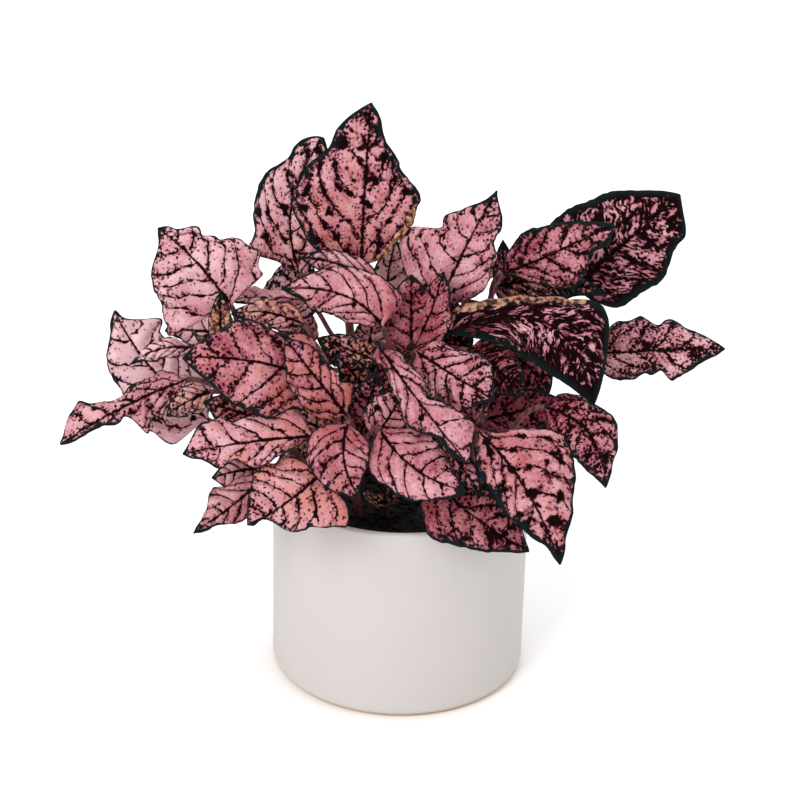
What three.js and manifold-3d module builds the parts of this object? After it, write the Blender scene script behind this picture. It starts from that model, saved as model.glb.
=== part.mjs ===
// A potted polka dot plant: a plain ceramic cylinder filled with soil, eight leafy shoots and a low sprout.
// Each shoot is a bent stem that carries small young leaves at its tip, made as one solid with it.
// Every grown leaf is a solid of its own, with its stalk, and ends just clear of the stem it grows on.
// Millimetres, +Z up, with the origin at the middle of the pot's foot. The plant's front faces -Y.

import * as THREE from "three";
import { mergeVertices } from "three/addons/utils/BufferGeometryUtils.js";
import Module from "manifold-3d";

const wasm = await Module();
wasm.setup();

// Pot
const potDiameter = 110;
const potHeight = 88.5;
const potWall = 3;
const potFloor = 6;
const potFootRounding = 4;
const potLipRounding = 1.2;
const potFacets = 40;

// Soil
const soilLevel = 82;
const soilFacets = 24;
const soilRings = 5;
const crumbHeight = 0.9;
const clearance = 0.3;

// Stems
const stemFootRadius = 2.3;
const stemTipRadius = 1.7;
const stemRings = 9;
const stemFacets = 6;

// Leaves
const bladeThickness = 0.8;
const midribDepth = 0.9;
const stalkRadius = 1.1;
const stalkEdge = 0.45;
const stalkTopFlatness = 0.8;
const stalkSweep = 0.9;
const bladeSteps = 8;
const smallBladeSteps = 6;
const smallLeafLength = 38;
const stalkSteps = 3;
const acrossSteps = 4;
const tipHalfWidth = 0.4;
const edgeRipple = 0.03;
const ripplesAlongLeaf = 3.1;
const wavesAlongLeaf = 2.5;
const youngSteps = 4;
const youngAcross = 2;
const youngWidth = 0.24;
const youngSag = 0.06;
const youngWave = 0.02;
const youngRootDepth = 1.2;

const potColour = { color: 0xe6ddd6, roughness: 0.7, metalness: 0 };
const soilColour = { color: 0x1d1713, roughness: 0.95, metalness: 0 };
const stemColour = { color: 0x6e4a3f, roughness: 0.6, metalness: 0 };
const leafColour = { color: 0xd0848e, roughness: 0.5, metalness: 0 };

// Each stem's spine is a parabola through its foot in the soil, its middle and its tip.
// Its young leaves are given by heading and climb in degrees and length.
const stems = {
  centre: {
    spine: [[0, -4, 66], [3, -7, 110], [3, -5, 149]],
    young: [[35, 64, 36], [108, 70, 28], [270, 60, 8]],
  },
  front: {
    spine: [[-12, -20, 66], [-20, -32, 98], [-24, -39, 125]],
    young: [[100, 55, 10], [205, 45, 9]],
  },
  left: {
    spine: [[-22, 2, 66], [-52, -5, 108], [-76, -9, 149]],
    young: [[150, 50, 12], [265, 60, 11], [325, 32, 13]],
  },
  top: {
    spine: [[-10, 12, 66], [-20, 15, 120], [-25, 19, 171]],
    young: [[40, 60, 12], [170, 50, 15], [280, 64, 11]],
  },
  right: {
    spine: [[20, 8, 66], [42, 16, 108], [62, 24, 148]],
    young: [[30, 62, 12], [150, 60, 15], [260, 60, 12]],
  },
  corner: {
    spine: [[16, -16, 66], [26, -28, 100], [31, -36, 130]],
    young: [[60, 60, 13], [180, 62, 12], [290, 64, 10]],
  },
  rear_left: {
    spine: [[-18, 26, 66], [-34, 38, 98], [-43, 45, 130]],
    young: [[105, 22, 32], [165, 40, 30], [270, 60, 14]],
  },
  rear_right: {
    spine: [[12, 28, 66], [22, 45, 110], [27, 54, 157]],
    young: [[75, 20, 34], [140, 30, 30], [20, 25, 28]],
  },
  sprout: {
    spine: [[-5, -22, 66], [-6, -24, 78], [-7, -26, 87]],
    young: [[10, 35, 10], [85, 55, 9], [165, 30, 10], [250, 40, 8]],
  },
};

// Each leaf joins its stem at a share of the stem's length. Its spine is the midrib, a parabola through
// the blade's root, middle and tip, and looks is the way its upper face turns. left and right are the
// widths from the midrib to each edge, as seen from above with the tip away. widest is the share of the
// length at which each side is widest. A bump is a place along the edge, how far it stands out there (or
// goes in, if below zero) and how far along the edge it reaches.
const ordinaryLeaf = {
  widest: [0.37, 0.37], blunt: 0.86, fold: 14, curl: -40, wave: 1.4, phase: 0, leftBumps: [], rightBumps: [],
};
const leaves = [
  { name: "leaf_top_1", stem: "top", joins: 0.97,
    spine: [[-19, 18, 176], [-18, 24, 209], [-16, 30, 245]], looks: [0.1, -1, 0.3],
    left: 30, right: 20, widest: [0.42, 0.42], fold: 10, curl: -25, leftBumps: [[0.73, -6, 0.09]],
    rightBumps: [[0.47, 4.6, 0.07], [0.63, -2.5, 0.06], [0.8, -4.5, 0.12], [0.33, 1.8, 0.1]] },
  { name: "leaf_top_2", stem: "top", joins: 0.9,
    spine: [[-45, 26, 170], [-49, 36, 197], [-36, 42, 225]], looks: [-0.4, -1, 0.3],
    left: 17, right: 20, blunt: 0.7, fold: 10, curl: -20,
    leftBumps: [[0.22, 5.5, 0.06], [0.1, -6, 0.06], [0.6, 1.8, 0.08], [0.78, -4, 0.09],
      [0.85, 2, 0.15]] },
  { name: "leaf_top_3", stem: "top", joins: 0.84,
    spine: [[-12, 4, 177], [-30, 11, 181], [-45, 18, 180]], looks: [0, -0.9, 0.4],
    left: 6, right: 6, wave: 2, phase: 1 },
  { name: "leaf_top_4", stem: "top", joins: 0.72,
    spine: [[-42, 14, 162], [-58, 10, 165], [-73, 6, 165]], looks: [0, -0.15, 1],
    left: 9, right: 9, phase: 2, rightBumps: [[0.75, 3, 0.15]] },
  { name: "leaf_left_1", stem: "left", joins: 0.95,
    spine: [[-72.3, -2, 166], [-86.2, 3, 182.4], [-103, 8, 196]], looks: [-0.1, -0.74, 0.66],
    left: 28, right: 21.5, widest: [0.3, 0.36], wave: 2,
    leftBumps: [[0.8, 1.5, 0.06], [0.9, -2.2, 0.07], [0.42, -4, 0.12], [0.08, 5, 0.1]],
    rightBumps: [[0.53, -4.5, 0.06], [0.3, -2.7, 0.07], [0.65, -6.5, 0.08], [0.85, -4, 0.08],
      [0.08, 2.5, 0.1], [0.05, 4, 0.05], [0.25, 4.5, 0.08]] },
  { name: "leaf_left_2", stem: "left", joins: 0.7,
    spine: [[-82, -6, 115], [-107, 6, 133], [-123, 16, 155]], looks: [-0.1, -0.65, 0.75],
    left: 20.5, right: 16, phase: 3,
    leftBumps: [[0.52, -3.5, 0.12], [0.85, -2.5, 0.08], [0.05, 5, 0.07], [0.12, 2, 0.06]],
    rightBumps: [[0.77, 6.5, 0.07], [0.92, -2, 0.05]] },
  { name: "leaf_left_3", stem: "left", joins: 0.8,
    spine: [[-90, -18, 139], [-115, -24, 129], [-142, -26, 112]], looks: [0, -0.5, 0.8],
    left: 9, right: 8, widest: [0.3, 0.3], wave: 2,
    leftBumps: [[0.3, 2.5, 0.06], [0.42, 7.5, 0.04], [0.52, -2, 0.05], [0.72, -5, 0.12],
      [0.8, 1.5, 0.2]],
    rightBumps: [[0.9, 7.5, 0.07], [0.79, 10, 0.07], [0.66, 3, 0.06], [0.16, 4, 0.06]] },
  { name: "leaf_left_4", stem: "left", joins: 0.93,
    spine: [[-89, -8, 149], [-101, -12, 150], [-114, -10, 142]], looks: [0, -0.6, 0.8],
    left: 5, right: 5, phase: 1 },
  { name: "leaf_left_5", stem: "left", joins: 0.4,
    spine: [[-56, -48, 110], [-69, -55, 100], [-84, -60, 90]], looks: [-0.2, -0.72, 0.66],
    left: 9.5, right: 8.5, phase: 2, leftBumps: [[0.7, -3, 0.2]], rightBumps: [[0.55, 4, 0.15]] },
  { name: "leaf_left_6", stem: "left", joins: 0.46,
    spine: [[-57, -34, 107], [-68, -37, 107], [-78, -40, 105]], looks: [0, -0.75, 0.66],
    left: 9.5, right: 5.5, phase: 4 },
  { name: "leaf_left_7", stem: "left", joins: 0.6,
    spine: [[-58, -39, 131.5], [-70, -40, 136.5], [-81, -41, 140]], looks: [0, -0.75, 0.66],
    left: 7.5, right: 7.5 },
  { name: "leaf_left_8", stem: "left", joins: 0.66,
    spine: [[-42, -6, 160], [-57, -6, 165], [-72, -6, 164]], looks: [0, -0.6, 0.8],
    left: 7.5, right: 7.5, phase: 3 },
  { name: "leaf_left_9", stem: "left", joins: 0.75,
    spine: [[-79, -29, 139], [-89, -31, 135], [-97, -32, 129]], looks: [0, -0.75, 0.66],
    left: 6.5, right: 6.5, wave: 2 },
  { name: "leaf_front_1", stem: "front", joins: 0.8,
    spine: [[-30, -34, 146], [-59, -40, 158], [-89, -42, 160]], looks: [-0.1, -0.8, 0.7],
    left: 22, right: 20, phase: 1, leftBumps: [[0.2, -4, 0.1]],
    rightBumps: [[0.68, 1.5, 0.07], [0.36, -5, 0.12]] },
  { name: "leaf_front_2", stem: "front", joins: 0.98,
    spine: [[-23, -43, 137], [-36, -43, 154], [-48, -36, 167]], looks: [0, -0.75, 0.66],
    left: 12, right: 13, phase: 2, rightBumps: [[0.5, -4.4, 0.2], [0.28, -4, 0.08]] },
  { name: "leaf_front_3", stem: "front", joins: 0.74,
    spine: [[-22, -54, 138], [-23, -63, 126], [-17, -68, 113]], looks: [0, -0.75, 0.66],
    left: 11, right: 15.5, phase: 3 },
  { name: "leaf_front_4", stem: "front", joins: 0.86,
    spine: [[-36, -50, 130], [-61, -56, 130], [-88, -58, 125]], looks: [0, -0.66, 0.75],
    left: 12, right: 12, widest: [0.6, 0.4], phase: 4,
    leftBumps: [[0.86, -3.5, 0.08], [0.63, -4.5, 0.09]],
    rightBumps: [[0.86, 6.5, 0.08], [0.72, 5, 0.08], [0.18, 4, 0.14], [0.1, 4, 0.12]] },
  { name: "leaf_front_5", stem: "front", joins: 0.55,
    spine: [[-32, -60, 119], [-46, -70, 110], [-61, -76, 103]], looks: [0, -0.66, 0.75],
    left: 20.5, right: 18, widest: [0.25, 0.4], phase: 5,
    leftBumps: [[0.78, -9, 0.13], [0.45, -5, 0.12], [0.2, 3, 0.08]],
    rightBumps: [[0.85, 2.5, 0.1], [0.6, 3, 0.15], [0.12, 5, 0.1], [0.45, 2, 0.12]] },
  { name: "leaf_front_6", stem: "front", joins: 0.87,
    spine: [[-9, -50, 134], [5, -62, 123], [26, -66, 115]], looks: [0, -0.66, 0.75],
    left: 15.5, right: 14, phase: 6,
    leftBumps: [[0.65, 2.3, 0.12], [0.34, 1.5, 0.06], [0.08, -2.5, 0.06]],
    rightBumps: [[0.08, -3, 0.06]] },
  { name: "leaf_front_7", stem: "front", joins: 0.91,
    spine: [[-17, -31, 122.5], [-14, -30, 136.2], [-11, -26, 148.9]], looks: [0, -0.9, 0.5],
    left: 9, right: 8, phase: 2 },
  { name: "leaf_front_8", stem: "front", joins: 0.66,
    spine: [[-10.7, -43, 126.7], [-4.8, -41, 136.8], [2.2, -39, 147.7]], looks: [0, -0.75, 0.66],
    left: 11, right: 10, phase: 3 },
  { name: "leaf_centre_1", stem: "centre", joins: 0.93,
    spine: [[-9.4, -9, 161.2], [-25.9, -3, 172.5], [-52, 6, 170.8]], looks: [-0.2, -0.9, 0.6],
    left: 10, right: 14.5, widest: [0.45, 0.3], phase: 1, leftBumps: [[0.74, 2.2, 0.07]],
    rightBumps: [[0.1, 3, 0.08]] },
  { name: "leaf_centre_2", stem: "centre", joins: 0.9,
    spine: [[14, 8, 164], [25, 16, 188], [37, 24, 210]], looks: [-0.1, -0.74, 0.66],
    left: 27, right: 17, widest: [0.33, 0.42], blunt: 1.1, phase: 2,
    leftBumps: [[0.34, 1, 0.05], [0.44, 2, 0.04], [0.54, -8, 0.07], [0.72, -5.5, 0.13],
      [0.88, -3, 0.08]], rightBumps: [[0.43, -3, 0.08], [0.62, -4, 0.1]] },
  { name: "leaf_centre_3", stem: "centre", joins: 0.82,
    spine: [[16, -5, 156], [57, -11, 166], [79, -20, 133]], looks: [0.2, -1, 0.6],
    left: 17, right: 18, widest: [0.55, 0.55], phase: 3,
    leftBumps: [[0.28, -4, 0.08], [0.42, -6, 0.1], [0.56, -3, 0.06], [0.72, 4, 0.1],
      [0.08, 5, 0.06], [0.66, 3, 0.1]] },
  { name: "leaf_centre_4", stem: "centre", joins: 0.97,
    spine: [[-11.5, -22, 160], [4, -46, 148], [26, -60, 125]], looks: [0.2, -0.7, 0.8],
    left: 13, right: 8.5, widest: [0.65, 0.65], phase: 4,
    leftBumps: [[0.88, 6, 0.09], [0.57, -8, 0.1], [0.16, 3.5, 0.08]],
    rightBumps: [[0.8, -4.5, 0.08], [0.6, 2, 0.07], [0.14, 4.5, 0.07]] },
  { name: "leaf_centre_5", stem: "centre", joins: 0.94,
    spine: [[5, -14, 152.5], [21.5, -24, 146], [37, -33, 140.5]], looks: [0, -0.75, 0.66],
    left: 16, right: 14, phase: 5,
    leftBumps: [[0.24, -4.5, 0.12], [0.42, -2.5, 0.1], [0.72, 2.5, 0.12]],
    rightBumps: [[0.79, 2.4, 0.08], [0.24, -3.5, 0.1]] },
  { name: "leaf_centre_6", stem: "centre", joins: 0.75,
    spine: [[26, -8, 151], [39, -14, 145], [50, -17, 135]], looks: [0, -0.75, 0.66],
    left: 12, right: 12, phase: 6 },
  { name: "leaf_centre_7", stem: "centre", joins: 0.88,
    spine: [[-12, -14, 148], [-23.8, -8, 150.4], [-36.5, -3, 152.8]], looks: [0, -0.8, 0.6],
    left: 10, right: 7, phase: 7 },
  { name: "leaf_centre_8", stem: "centre", joins: 0.6,
    spine: [[-13, -25, 136], [-20, -21, 144], [-28, -17, 152]], looks: [0, -0.8, 0.6],
    left: 7, right: 7, phase: 8 },
  { name: "leaf_right_1", stem: "right", joins: 0.97,
    spine: [[71, 36, 161], [94, 46, 179], [117, 54, 199]], looks: [0, -0.9, 0.4],
    left: 27, right: 21, widest: [0.36, 0.48], phase: 1, leftBumps: [[0.18, 4.5, 0.1]],
    rightBumps: [[0.86, 2, 0.07], [0.5, 2, 0.12], [0.15, 5, 0.1], [0.3, 1.5, 0.15],
      [0.84, 1.5, 0.09]] },
  { name: "leaf_right_2", stem: "right", joins: 0.8,
    spine: [[41, 20, 174], [63, 24, 183], [87, 30, 194]], looks: [0, -0.75, 0.66],
    left: 13, right: 18, widest: [0.4, 0.6], phase: 2, leftBumps: [[0.4, 1.5, 0.3]],
    rightBumps: [[0.76, -8.5, 0.13]] },
  { name: "leaf_right_3", stem: "right", joins: 0.85,
    spine: [[73, 16, 139], [105, 18, 141], [137, 20, 142]], looks: [0, -0.66, 0.75],
    left: 13, right: 13, widest: [0.55, 0.55], phase: 3,
    leftBumps: [[0.46, 6, 0.07], [0.3, 5, 0.1], [0.57, -1, 0.03], [0.66, 3, 0.07]],
    rightBumps: [[0.55, -3.5, 0.05], [0.45, -3, 0.04], [0.24, 4, 0.1], [0.62, 2.5, 0.05],
      [0.83, -2.5, 0.1]] },
  { name: "leaf_right_4", stem: "right", joins: 0.7,
    spine: [[40, 0, 148], [52, -3, 142], [61, -7, 131]], looks: [0, -0.75, 0.66],
    left: 12, right: 12, phase: 4 },
  { name: "leaf_right_5", stem: "right", joins: 0.75,
    spine: [[40, 34, 162], [61, 31, 167], [85, 26, 163]], looks: [0, -0.75, 0.66],
    left: 8.5, right: 8.5, phase: 5 },
  { name: "leaf_corner_1", stem: "corner", joins: 0.97,
    spine: [[31, -44, 131], [50, -60, 114], [65, -70, 85]], looks: [0.1, -0.74, 0.66],
    left: 26, right: 13, widest: [0.36, 0.4], phase: 1,
    leftBumps: [[0.09, -12, 0.07], [0.2, -3, 0.06], [0.7, -3.5, 0.1], [0.87, -3.5, 0.08],
      [0.6, 1.2, 0.3]], rightBumps: [[0.88, -2.5, 0.07]] },
  { name: "leaf_corner_2", stem: "corner", joins: 0.42,
    spine: [[58, -30, 136], [76, -37, 128], [84, -42, 106]], looks: [0.2, -0.72, 0.66],
    left: 13, right: 14, phase: 2,
    leftBumps: [[0.34, -2.6, 0.1], [0.55, 2.2, 0.1], [0.84, -1.5, 0.08], [0.5, 1, 0.3]] },
  { name: "leaf_corner_3", stem: "corner", joins: 0.6,
    spine: [[13, -42, 107], [32, -56, 97], [53, -56, 83]], looks: [0, -0.75, 0.66],
    left: 13, right: 14, phase: 3, leftBumps: [[0.85, 3, 0.1]],
    rightBumps: [[0.28, 5, 0.12], [0.08, 4, 0.05], [0.8, -2, 0.12]] },
  { name: "leaf_corner_4", stem: "corner", joins: 0.8,
    spine: [[17, -46, 127], [25, -50, 117], [33, -52, 106]], looks: [0.2, -0.9, 0.4],
    left: 6, right: 5, phase: 4 },
  { name: "leaf_rear_left_1", stem: "rear_left", joins: 0.97,
    spine: [[-49.8, 38, 142.8], [-47.2, 46, 154.5], [-45, 54, 170.1]], looks: [-0.1, -0.8, 0.6],
    left: 15, right: 11 },
  { name: "leaf_rear_left_2", stem: "rear_left", joins: 0.9,
    spine: [[-73.8, 32, 136.3], [-88.3, 31, 139.7], [-103.2, 28, 140.6]], looks: [0, -0.8, 0.6],
    left: 8, right: 13.5, phase: 1 },
  { name: "leaf_rear_left_3", stem: "rear_left", joins: 0.8,
    spine: [[-16.4, 30, 128.2], [-14.9, 34, 136.9], [-13, 40, 147.1]], looks: [0, -0.85, 0.5],
    left: 8.5, right: 9.5, phase: 2 },
  { name: "leaf_rear_left_4", stem: "rear_left", joins: 0.6,
    spine: [[-46, 54, 114], [-66, 72, 106], [-84, 88, 90]], looks: [0, 0.5, 1],
    left: 16, right: 18, phase: 3 },
  { name: "leaf_rear_left_5", stem: "rear_left", joins: 0.5,
    spine: [[-28.4, 8, 100.1], [-39.4, 12, 105.5], [-54.8, 18, 109.9]], looks: [0, -0.75, 0.65],
    left: 14, right: 9, phase: 4 },
  { name: "leaf_rear_right_1", stem: "rear_right", joins: 0.52,
    spine: [[14, 33, 123.8], [18.4, 36, 138.3], [20.6, 42, 153.3]], looks: [0, -0.85, 0.5],
    left: 10, right: 13, phase: 5 },
  { name: "leaf_rear_right_2", stem: "rear_right", joins: 0.9,
    spine: [[47.6, 48, 146.7], [43.1, 50, 161.3], [41.8, 54, 176]], looks: [0, -0.85, 0.5],
    left: 6, right: 7, phase: 6 },
  { name: "leaf_rear_right_3", stem: "rear_right", joins: 0.84,
    spine: [[-4.9, 44, 127.9], [-8.1, 50, 152], [-4.3, 57, 174.6]], looks: [0, -0.9, 0.4],
    left: 9, right: 11, phase: 7, rightBumps: [[0.4, 6, 0.2]] },
  { name: "leaf_rear_right_4", stem: "rear_right", joins: 0.6,
    spine: [[30, 58, 116], [46, 76, 108], [58, 92, 92]], looks: [0, 0.5, 1],
    left: 17, right: 17, phase: 1 },
  { name: "leaf_rear_right_5", stem: "rear_right", joins: 0.3,
    spine: [[27.9, -0, 112.2], [48.8, -1, 119.8], [71.2, -4, 125.1]], looks: [0, -0.7, 0.7],
    left: 11.5, right: 11, phase: 2, leftBumps: [[0.3, 2.5, 0.15]], rightBumps: [[0.7, 2.5, 0.2]] },
  { name: "leaf_rear_right_6", stem: "rear_right", joins: 0.34,
    spine: [[-11.5, 18, 109.1], [-11.8, 21, 118.2], [-10.8, 26, 132.1]], looks: [0, -0.85, 0.5],
    left: 13, right: 9, phase: 3 },
];

const toRadians = THREE.MathUtils.degToRad;
const toVector = (numbers) => new THREE.Vector3(...numbers);

// The place and direction at share u of the parabola through three points.
function onParabola([start, middle, end], u) {
  const place = new THREE.Vector3()
    .addScaledVector(start, (1 - u) * (1 - 2 * u))
    .addScaledVector(middle, 4 * u * (1 - u))
    .addScaledVector(end, u * (2 * u - 1));
  const along = new THREE.Vector3()
    .addScaledVector(start, 4 * u - 3)
    .addScaledVector(middle, 4 - 8 * u)
    .addScaledVector(end, 4 * u - 1)
    .normalize();
  return { place, along };
}

// What is left of a direction after its part along another is taken away, at length 1.
function squareTo(direction, along) {
  return direction.clone().addScaledVector(along, -direction.dot(along)).normalize();
}

function toGeometry(points, triangles) {
  const geometry = new THREE.BufferGeometry().setFromPoints(points);
  geometry.setIndex(triangles.flat());
  return geometry;
}

// A closed solid between an upper and a lower sheet of rows of points, both split into triangles alike.
// The diagonals slope away from the middle column on both sides.
function solidBetween(upper, lower) {
  const rows = upper.length;
  const columns = upper[0].length;
  const below = rows * columns;
  const at = (row, column) => row * columns + column;
  const triangles = [];
  for (let row = 0; row < rows - 1; row++) {
    for (let column = 0; column < columns - 1; column++) {
      const [a, b] = [at(row, column), at(row + 1, column)];
      const [c, d] = [at(row + 1, column + 1), at(row, column + 1)];
      const firstHalf = column < (columns - 1) / 2;
      const pair = firstHalf ? [[a, b, c], [a, c, d]] : [[a, b, d], [b, c, d]];
      for (const [p, q, r] of pair) {
        triangles.push([p, q, r], [r + below, q + below, p + below]);
      }
    }
    const last = columns - 1;
    const [a, b] = [at(row, 0), at(row + 1, 0)];
    const [c, d] = [at(row, last), at(row + 1, last)];
    triangles.push([a, a + below, b + below], [a, b + below, b]);
    triangles.push([c, d, d + below], [c, d + below, c + below]);
  }
  for (let column = 0; column < columns - 1; column++) {
    const [a, b] = [at(0, column), at(0, column + 1)];
    const [c, d] = [at(rows - 1, column), at(rows - 1, column + 1)];
    triangles.push([a, b, b + below], [a, b + below, a + below]);
    triangles.push([c, c + below, d + below], [c, d + below, d]);
  }
  return toGeometry([...upper.flat(), ...lower.flat()], triangles);
}

// The share of its full width that a leaf has at share u of its length: 0 at both ends, 1 where widest.
function ovate(u, widest, blunt) {
  const rise = (blunt * widest) / (1 - widest);
  const peak = widest ** rise * (1 - widest) ** blunt;
  return (u ** rise * (1 - u) ** blunt) / peak;
}

function halfWidth(leaf, isLeft, u) {
  const width = isLeft ? leaf.left : leaf.right;
  const bumps = isLeft ? leaf.leftBumps : leaf.rightBumps;
  const phase = leaf.phase + (isLeft ? 0 : 2);
  let half = width * ovate(u, leaf.widest[isLeft ? 0 : 1], leaf.blunt);
  for (const [place, height, reach] of bumps) {
    half += height * Math.exp(-(((u - place) / reach) ** 2));
  }
  half *= 1 + edgeRipple * Math.sin(2 * Math.PI * ripplesAlongLeaf * u + phase);
  return Math.max(half, tipHalfWidth);
}

function bladeFrame(leaf, u) {
  const { place, along } = onParabola(leaf.spine, u);
  const face = squareTo(leaf.looks, along);
  const side = face.clone().cross(along);
  return { place, along, face, side };
}

// A point of the blade's middle sheet. t runs from -1 at the right edge to 1 at the left one. From the
// midrib each half rises at the fold's angle and then bends down evenly by the curl's angle, and
// towards the edge it waves up and down.
function bladePoint(leaf, frame, u, t) {
  const isLeft = t > 0;
  const reach = Math.abs(t);
  const half = halfWidth(leaf, isLeft, u);
  const fold = toRadians(leaf.fold);
  const curl = toRadians(leaf.curl);
  const out = (half * (Math.sin(fold + curl * reach) - Math.sin(fold))) / curl;
  const bend = (half * (Math.cos(fold) - Math.cos(fold + curl * reach))) / curl;
  const swell = Math.sin(Math.PI * u) ** 0.7;
  const phase = leaf.phase + (isLeft ? 0 : 2.1);
  const wave = leaf.wave * reach ** 2 * swell * Math.sin(2 * Math.PI * wavesAlongLeaf * u + phase);
  return frame.place.clone()
    .addScaledVector(frame.side, Math.sign(t) * out)
    .addScaledVector(frame.face, bend + wave);
}

function sheetNormal(sheet, frames, row, column) {
  if (row === 0 || row === sheet.length - 1) {
    return frames[row].face;
  }
  const right = Math.max(column - 1, 0);
  const left = Math.min(column + 1, sheet[row].length - 1);
  const lengthwise = sheet[row + 1][column].clone().sub(sheet[row - 1][column]);
  const crosswise = sheet[row][left].clone().sub(sheet[row][right]);
  const normal = lengthwise.cross(crosswise).normalize();
  return normal.dot(frames[row].face) < 0 ? normal.negate() : normal;
}

function stemRadius(share) {
  return THREE.MathUtils.lerp(stemFootRadius, stemTipRadius, share);
}

// The stalk's rows, from just clear of the stem to the blade's root: a smooth cubic between the two.
function stalkFrames(leaf, root) {
  const stem = stems[leaf.stem];
  const { place, along } = onParabola(stem.spine, leaf.joins);
  const outward = squareTo(root.place.clone().sub(place), along);
  const clear = stemRadius(leaf.joins) + clearance;
  const start = place.clone().addScaledVector(outward, clear);
  const reach = stalkSweep * start.distanceTo(root.place);
  const leave = outward.clone().setLength(reach);
  const arrive = root.along.clone().setLength(reach);
  const frames = [];
  let side = root.side;
  for (let step = stalkSteps - 1; step >= 0; step--) {
    const h = step / stalkSteps;
    const at = new THREE.Vector3()
      .addScaledVector(start, 2 * h ** 3 - 3 * h ** 2 + 1)
      .addScaledVector(leave, h ** 3 - 2 * h ** 2 + h)
      .addScaledVector(root.place, 3 * h ** 2 - 2 * h ** 3)
      .addScaledVector(arrive, h ** 3 - h ** 2);
    const heading = new THREE.Vector3()
      .addScaledVector(start, 6 * h ** 2 - 6 * h)
      .addScaledVector(leave, 3 * h ** 2 - 4 * h + 1)
      .addScaledVector(root.place, 6 * h - 6 * h ** 2)
      .addScaledVector(arrive, 3 * h ** 2 - 2 * h)
      .normalize();
    side = squareTo(side, heading);
    frames.unshift({ place: at, face: heading.clone().cross(side), side });
  }
  return frames;
}

// The upper and lower row of points round a stalk: an oval with blunt edges.
function stalkSection(frame) {
  const upper = [];
  const lower = [];
  for (let step = 0; step <= acrossSteps; step++) {
    const turn = (Math.PI / 2) * ((2 * step) / acrossSteps - 1);
    const out = stalkRadius * Math.sin(turn);
    const rise = stalkEdge + (stalkRadius - stalkEdge) * Math.cos(turn);
    const middle = frame.place.clone().addScaledVector(frame.side, out);
    upper.push(middle.clone().addScaledVector(frame.face, stalkTopFlatness * rise));
    lower.push(middle.clone().addScaledVector(frame.face, -rise));
  }
  return { upper, lower };
}

// The blade's upper and lower rows: the middle sheet moved out by half the thickness along its own
// normal, with the midrib standing out below.
function bladeRows(leaf, steps, across) {
  const frames = [];
  const sheet = [];
  for (let row = 0; row <= steps; row++) {
    const frame = bladeFrame(leaf, row / steps);
    const points = [];
    for (let step = 0; step <= across; step++) {
      points.push(bladePoint(leaf, frame, row / steps, (2 * step) / across - 1));
    }
    frames.push(frame);
    sheet.push(points);
  }
  const upper = [];
  const lower = [];
  sheet.forEach((points, row) => {
    const normals = points.map((_, column) => sheetNormal(sheet, frames, row, column));
    const half = bladeThickness / 2;
    const rib = midribDepth * (1 - (0.75 * row) / steps);
    const depths = points.map((_, column) => (column === across / 2 ? half + rib : half));
    upper.push(points.map((point, i) => point.clone().addScaledVector(normals[i], half)));
    lower.push(points.map((point, i) => point.clone().addScaledVector(normals[i], -depths[i])));
  });
  return { frames, upper, lower };
}

function grownLeaf(leaf) {
  const length = leaf.spine[0].distanceTo(leaf.spine[1]) + leaf.spine[1].distanceTo(leaf.spine[2]);
  const steps = length < smallLeafLength ? smallBladeSteps : bladeSteps;
  const { frames, upper, lower } = bladeRows(leaf, steps, acrossSteps);
  const stalk = [...stalkFrames(leaf, frames[0]), frames[0]].map(stalkSection);
  const upperRows = [...stalk.map((section) => section.upper), ...upper.slice(1)];
  const lowerRows = [...stalk.map((section) => section.lower), ...lower.slice(1)];
  return solidBetween(upperRows, lowerRows);
}

// A young leaf at a stem's tip: a small blade whose root is sunk into the stem.
function youngLeaf(tip, [heading, climb, length]) {
  const [turn, rise] = [toRadians(heading), toRadians(climb)];
  const out = new THREE.Vector3(Math.cos(turn), Math.sin(turn), 0);
  const along = out.clone().multiplyScalar(Math.cos(rise)).setZ(Math.sin(rise));
  const looks = out.clone().multiplyScalar(-Math.sin(rise)).setZ(Math.cos(rise));
  const root = tip.clone().addScaledVector(along, -youngRootDepth).addScaledVector(out, -tipHalfWidth);
  const middle = root.clone().addScaledVector(along, length / 2).addScaledVector(looks, -youngSag * length);
  const end = root.clone().addScaledVector(along, length);
  const width = youngWidth * length;
  return {
    ...ordinaryLeaf, spine: [root, middle, end], looks, left: width, right: width, wave: youngWave * length,
    phase: heading / 30,
  };
}

// A closed tube along a spine from one share of it to another, with a radius for each share.
function tubeAlong(spine, from, to, rings, radiusAt) {
  const points = [];
  const triangles = [];
  const sideways = new THREE.Vector3(0, 1, 0.1);
  for (let ring = 0; ring <= rings; ring++) {
    const share = THREE.MathUtils.lerp(from, to, ring / rings);
    const { place, along } = onParabola(spine, share);
    const side = sideways.clone().cross(along).normalize();
    const front = along.clone().cross(side);
    for (let facet = 0; facet < stemFacets; facet++) {
      const turn = (2 * Math.PI * facet) / stemFacets;
      points.push(place.clone()
        .addScaledVector(side, radiusAt(share) * Math.cos(turn))
        .addScaledVector(front, radiusAt(share) * Math.sin(turn)));
    }
  }
  const bottom = points.push(onParabola(spine, from).place) - 1;
  const top = points.push(onParabola(spine, to).place) - 1;
  for (let facet = 0; facet < stemFacets; facet++) {
    const next = (facet + 1) % stemFacets;
    for (let ring = 0; ring < rings; ring++) {
      const [a, b] = [ring * stemFacets + facet, ring * stemFacets + next];
      const [c, d] = [a + stemFacets, b + stemFacets];
      triangles.push([a, b, d], [a, d, c]);
    }
    const lastRing = rings * stemFacets;
    triangles.push([bottom, next, facet], [top, lastRing + facet, lastRing + next]);
  }
  return toGeometry(points, triangles);
}

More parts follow.
